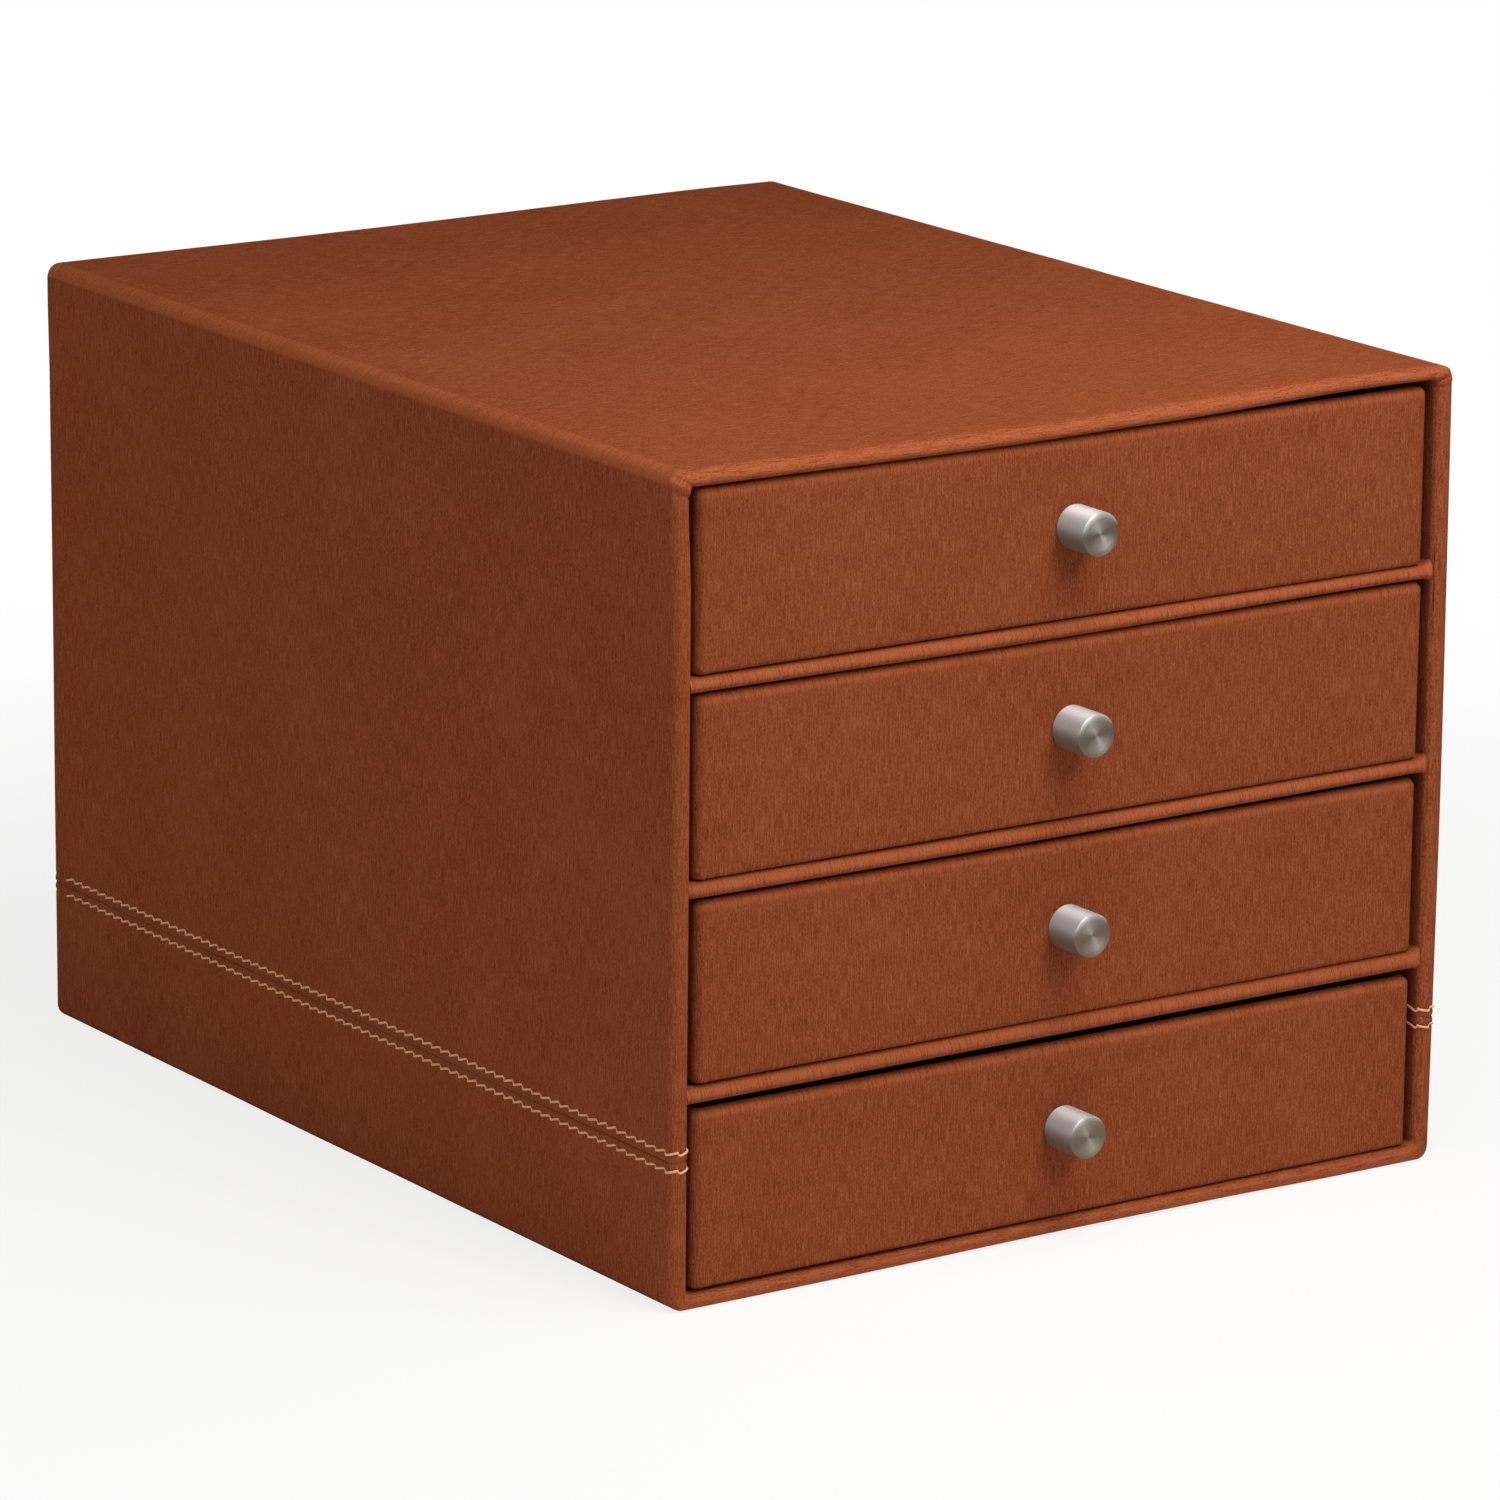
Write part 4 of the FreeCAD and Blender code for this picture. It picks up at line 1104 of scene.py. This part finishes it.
for side, name in ((-1, "left"), (1, "right")):
    points, looks, edges = row_lines(side)
    line = bpy.data.meshes.new(name + "_row_lines")
    line.from_pydata(points.tolist(), edges, [])
    look = line.attributes.new("look", "FLOAT_VECTOR", "POINT")
    look.data.foreach_set("vector", np.array(looks).astype(np.float32).ravel())
    sewn = run_tree(name + "_stitches", line, sewn_row, {**stitch_sizes, "Seed": 7 + side})
    finish_piece(sewn.name, sewn, "stitching_thread", "case", name + "_stitching", 60)
    report(sewn)

# %% [markdown]
# ## Turned aluminium
#
# The knobs are bar aluminium, turned on a lathe and left satin. A cutting tool leaves rings too
# fine to see, but the eye still gets them: the side has a soft sheen without sharp reflections,
# and the flat end shows light and dark wedges, because each place smears what it reflects
# across its own rings. An anisotropic metal does that, if it knows which way the rings run, and
# a quarter turn makes it smear across them, not along them. So a turned piece carries a UV map
# whose U direction goes round the axis, and the Tangent node reads it. The side was turned with
# a faster feed than the end, so it is rougher: an attribute named "on_side" tells the two apart.
#
# The screws are zinc-plated steel: a duller, bluer grey.

# %% Turned aluminium
tree = new_material("knob_aluminium", "turned_aluminium")
ring_place = add_node(tree, "ShaderNodeUVMap", uv_map="turned")
scale = {"Vector": ring_place, "Scale": (6.0, 1 / (0.3 * MM), 1)}
rings = {"Vector": add_node(tree, "ShaderNodeMapping", scale), "Scale": 1.0, "Detail": 2.0}
rings = add_node(tree, "ShaderNodeTexNoise", rings, noise_dimensions="2D")
on_side = add_node(tree, "ShaderNodeAttribute", attribute_name="on_side").node.outputs["Fac"]
colour = {"Factor": rings, "A": "#B9B6B1", "B": "#CFCCC7"}
colour = {"Factor": on_side, "A": add_node(tree, "ShaderNodeMix", colour, data_type="RGBA"), "B": "#B3ADAB"}
colour = add_node(tree, "ShaderNodeMix", colour, data_type="RGBA")
gloss = add_node(tree, "ShaderNodeMapRange", {"Value": rings, "To Min": 0.30, "To Max": 0.38})
gloss = add_node(tree, "ShaderNodeMath", {0: on_side, 1: 0.40, 2: gloss}, operation="MULTIPLY_ADD")
around = add_node(tree, "ShaderNodeTangent", direction_type="UV_MAP", uv_map="turned")
surface = {"Base Color": colour, "Metallic": 1.0, "Roughness": gloss, "Tangent": around}
surface |= {"Anisotropic": 0.75, "Anisotropic Rotation": 0.25}
end_material(tree, rings, 0.15, 0.01 * MM, surface)
print("aluminium:", len(tree.nodes), "nodes")

# %% Zinc-plated steel
tree = new_material("screw_steel", "zinc_plated_steel")
place = add_node(tree, "ShaderNodeTexCoord").node.outputs["Object"]
spangle = {"Vector": place, "Scale": 1 / (0.9 * MM), "Detail": 3.0}
spangle = add_node(tree, "ShaderNodeTexNoise", spangle)
colour = {"Factor": spangle, "A": "#9EA3A8", "B": "#C4C8CB"}
colour = add_node(tree, "ShaderNodeMix", colour, data_type="RGBA")
gloss = add_node(tree, "ShaderNodeMapRange", {"Value": spangle, "To Min": 0.28, "To Max": 0.42})
surface = {"Base Color": colour, "Metallic": 1.0, "Roughness": gloss}
end_material(tree, spangle, 0.2, 0.02 * MM, surface)
print("steel:", len(tree.nodes), "nodes")

# %% [markdown]
# ## Turning a piece
#
# A turned piece is a profile spun round an axis. Each point of the profile is a distance along
# the axis and a radius, from the axis back to the axis, so the shape closes at its two poles.
# Both kinds of turned piece here lie along Y.

# %% Turn a profile round an axis
TURNED_SIDES = 96


def turn_piece(node, body, slot, profile, smooth_angle, relief=None):
    """Spins (y, radius) points round the middle of a CAD node into a piece that replaces it."""
    centre = sum(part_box(node), Vector()) / 2
    run = lengths(np.array(profile))
    points, rows = [], []
    for y, radius in profile:
        count = 1 if radius == 0 else TURNED_SIDES
        rows.append(range(len(points), len(points) + count))
        for side in range(count):
            angle = 2 * math.pi * side / TURNED_SIDES
            x, z = radius * math.cos(angle), radius * math.sin(angle)
            sunk = relief(x, z, y) if relief else 0.0
            points.append((centre.x + x, y - sunk, centre.z + z))
    faces, places = [], []
    for (first, second), (start, end) in zip(zip(rows, rows[1:]), zip(run, run[1:])):
        for side in range(TURNED_SIDES):
            corners = ((first, 0, start), (first, 1, start), (second, 1, end), (second, 0, end))
            face = {}
            for row, step, along in corners:
                point = row[(side + step) % len(row)]
                face.setdefault(point, ((side + step) / TURNED_SIDES, along))
            faces.append(list(face))
            places += face.values()
    mesh = bpy.data.meshes.new(node + "_turned")
    mesh.from_pydata(points, [], faces)
    layer = mesh.uv_layers.new(name="turned")
    layer.data.foreach_set("uv", np.array(places, np.float32).ravel())
    on_side = [float(abs(face.normal.y) < 0.5) for face in mesh.polygons]
    mesh.attributes.new("on_side", "FLOAT", "FACE").data.foreach_set("value", on_side)
    turn_outwards(mesh)
    finish_piece(mesh.name, mesh, slot, body, node, smooth_angle)
    report(mesh)


# %% [markdown]
# ## The knobs
#
# A plain cylinder, with a crisp bevel at its end that catches the light, a broken edge at its
# foot and a blind bore for the screw. The end was faced on the lathe and is a little hollow.

# %% Make the knobs
KNOB_BEVEL, KNOB_FOOT, KNOB_HOLLOW = 0.6 * MM, 0.2 * MM, 0.10 * MM
BORE_RADIUS, BORE_DEPTH = 2.15 * MM, 9.5 * MM

for body in sorted(drawers):
    low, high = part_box(body + "_knob")
    radius = (high.x - low.x) / 2
    foot, end = high.y, low.y
    face = radius - KNOB_BEVEL
    profile = [(foot - BORE_DEPTH, 0), (foot - BORE_DEPTH, BORE_RADIUS), (foot, BORE_RADIUS)]
    profile += [(foot, radius - KNOB_FOOT), (foot - KNOB_FOOT, radius)]
    profile += [(y, radius) for y in spread(foot - 3 * MM, end + KNOB_BEVEL, 3 * MM)]
    profile += [(end + 0.3 * KNOB_BEVEL, radius - 0.3 * KNOB_BEVEL), (end, face)]
    for share in (0.75, 0.5, 0.25, 0.04, 0):
        profile.append((end + KNOB_HOLLOW * (1 - share), face * share))
    turn_piece(body + "_knob", body, "knob_aluminium", profile, 30)

# %% [markdown]
# ## The screws
#
# Each knob is held from inside the drawer by a pan-head machine screw. The head is domed, with a
# cross recess. The recess is cold-pressed in a factory, so here it is pressed too: the points
# of the head sink where the cross is.

# %% Make the screws
CROSS_LENGTH, CROSS_WIDTH, CROSS_DEPTH = 2.3 * MM, 0.55 * MM, 1.1 * MM
CROSS_TAPER, CROSS_END, CROSS_SIDE, CROWN_ZONE = 0.4, 0.9 * MM, 0.25 * MM, 0.3 * MM
HEAD_HEIGHT, DOME_DROP, CROWN_DROP, SHANK_RADIUS = 2.0 * MM, 1.3 * MM, 0.12 * MM, 2 * MM
CROWN_SHARE, CROWN_RINGS, DOME_TURN = 0.62, 22, 75


def cross_recess(x, z, y, crown):
    """How deep a cross-head driver has pressed in, at a place on the head."""
    depth = 0.0
    for along, beside in ((abs(x), abs(z)), (abs(z), abs(x))):
        into_end = (CROSS_LENGTH * (1 - CROSS_TAPER * depth / CROSS_DEPTH) - along) / CROSS_END
        into_side = (CROSS_WIDTH - beside) / CROSS_SIDE
        depth = max(depth, CROSS_DEPTH * min(max(min(into_end, into_side), 0), 1))
    return depth if y > crown - CROWN_ZONE else 0.0


for body in sorted(drawers):
    low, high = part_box(body + "_screw")
    radius = (high.x - low.x) / 2
    crown = high.y
    profile = [
        (crown - CROWN_DROP * share**2, radius * share)
        for share in np.linspace(0, CROWN_SHARE, CROWN_RINGS)
    ]
    least, most = arc(DOME_TURN, DOME_TURN)[-1]
    for cosine, sine in arc(15, DOME_TURN)[1:]:
        across = CROWN_SHARE + (1 - CROWN_SHARE) * sine / most
        profile.append((crown - DOME_DROP * (1 - cosine) / (1 - least), radius * across))
    seat = crown - HEAD_HEIGHT
    profile += [(seat, radius), (seat, SHANK_RADIUS), (low.y, SHANK_RADIUS), (low.y, 0)]
    pressed = partial(cross_recess, crown=crown)
    turn_piece(body + "_screw", body, "screw_steel", profile, 40, pressed)

# %% [markdown]
# ## The floor and the light
#
# A catalogue picture: plain pale floor, white all round. The floor is a matt white, mostly
# shown as pure white to the camera, so only the soft contact shadow of the box is left. Away
# from the box it is wholly white. A reflection sees it darker, like the room behind a camera:
# that gives the ends of the knobs their light and dark wedges.
#
# The world is white where the camera, a reflection or a clear piece sees it, and a soft grey for
# the light that falls on matt surfaces. Four large lamps do the rest: a key from above the
# camera's right, a low one in front, a near one over the front edge, which lets the top grow
# darker towards its back, and a fill on the left.

# %% The floor
SHADOW_SHARE, FLOOR_HALF = 0.18, 6.0
WHITER_FROM, WHITE_AT = 0.25, 0.70


def seen_by(tree, *rays):
    """One for the named kinds of ray, zero for the others."""
    kinds = add_node(tree, "ShaderNodeLightPath").node.outputs
    seen = kinds[rays[0]]
    for ray in rays[1:]:
        seen = add_node(tree, "ShaderNodeMath", {0: seen, 1: kinds[ray]}, operation="MAXIMUM")
    return seen


tree = new_material("floor", "matt_white_floor")
shown = seen_by(tree, "Is Camera Ray", "Is Transmission Ray")
place = add_node(tree, "ShaderNodeTexCoord").node.outputs["Object"]
away = add_node(tree, "ShaderNodeVectorMath", {0: place}, operation="LENGTH")
pure = {"Value": away, "From Min": WHITER_FROM, "From Max": WHITE_AT}
pure |= {"To Min": 1 - SHADOW_SHARE}
pure = add_node(tree, "ShaderNodeMapRange", pure, interpolation_type="SMOOTHSTEP")
white_share = add_node(tree, "ShaderNodeMath", {0: shown, 1: pure}, operation="MULTIPLY")
tone = {"Factor": seen_by(tree, "Is Glossy Ray"), "A": "#F4F3F0", "B": "#8C7B68"}
tone = add_node(tree, "ShaderNodeMix", tone, data_type="RGBA")
matt = add_node(tree, "ShaderNodeBsdfDiffuse", {"Color": tone})
white = add_node(tree, "ShaderNodeEmission", {"Color": "#FFFFFF", "Strength": 1.0})
surface = add_node(tree, "ShaderNodeMixShader", {0: white_share, 1: matt, 2: white})
add_node(tree, "ShaderNodeOutputMaterial", {"Surface": surface})

floor_mesh = bpy.data.meshes.new("floor")
corners = [(x * FLOOR_HALF, y * FLOOR_HALF, 0) for x, y in ((-1, -1), (1, -1), (1, 1), (-1, 1))]
floor_mesh.from_pydata(corners, [], [range(4)])
floor_mesh.materials.append(finishes["floor"])
floor = bpy.data.objects.new("floor", floor_mesh)
link(floor)
print("floor", 2 * FLOOR_HALF, "m across")

# %% The world
WORLD_LEVEL = 0.145
world = bpy.data.worlds.new("studio")
world.use_nodes = True
tree = world.node_tree
tree.nodes.clear()
shown = seen_by(tree, "Is Camera Ray", "Is Glossy Ray", "Is Transmission Ray")
soft = add_node(tree, "ShaderNodeBackground", {"Color": "#FFFFFF", "Strength": WORLD_LEVEL})
white = add_node(tree, "ShaderNodeBackground", {"Color": "#FFFFFF", "Strength": 1.0})
mixed = add_node(tree, "ShaderNodeMixShader", {0: shown, 1: soft, 2: white})
add_node(tree, "ShaderNodeOutputWorld", {"Surface": mixed})
bpy.context.scene.world = world
print("world level", WORLD_LEVEL)

# %% The lamps
AIM = Vector((0, -0.05, 0.12))
LAMPS = {
    "key": ((0.25, -1.70, 1.30), 0.6, 9.0),
    "low_front": ((0.20, -2.00, 0.50), 1.0, 2.7),
    "near_overhead": ((0.05, -0.35, 0.75), 0.5, 4.0),
    "left_fill": ((-1.90, -0.20, 0.60), 1.0, 8.7),
}
for name, (place, size, power) in LAMPS.items():
    lamp_data = bpy.data.lights.new(name, "AREA")
    lamp_data.shape = "DISK"
    lamp_data.size = size
    lamp_data.energy = power
    lamp = bpy.data.objects.new(name, lamp_data)
    lamp.location = place
    lamp.rotation_euler = (AIM - Vector(place)).to_track_quat("-Z", "Y").to_euler()
    link(lamp)
    print(name, "lamp:", size, "m across,", power, "W")

bpy.context.scene.view_settings.view_transform = "Standard"

# %% Update the scene, and finish
bpy.context.view_layer.update()
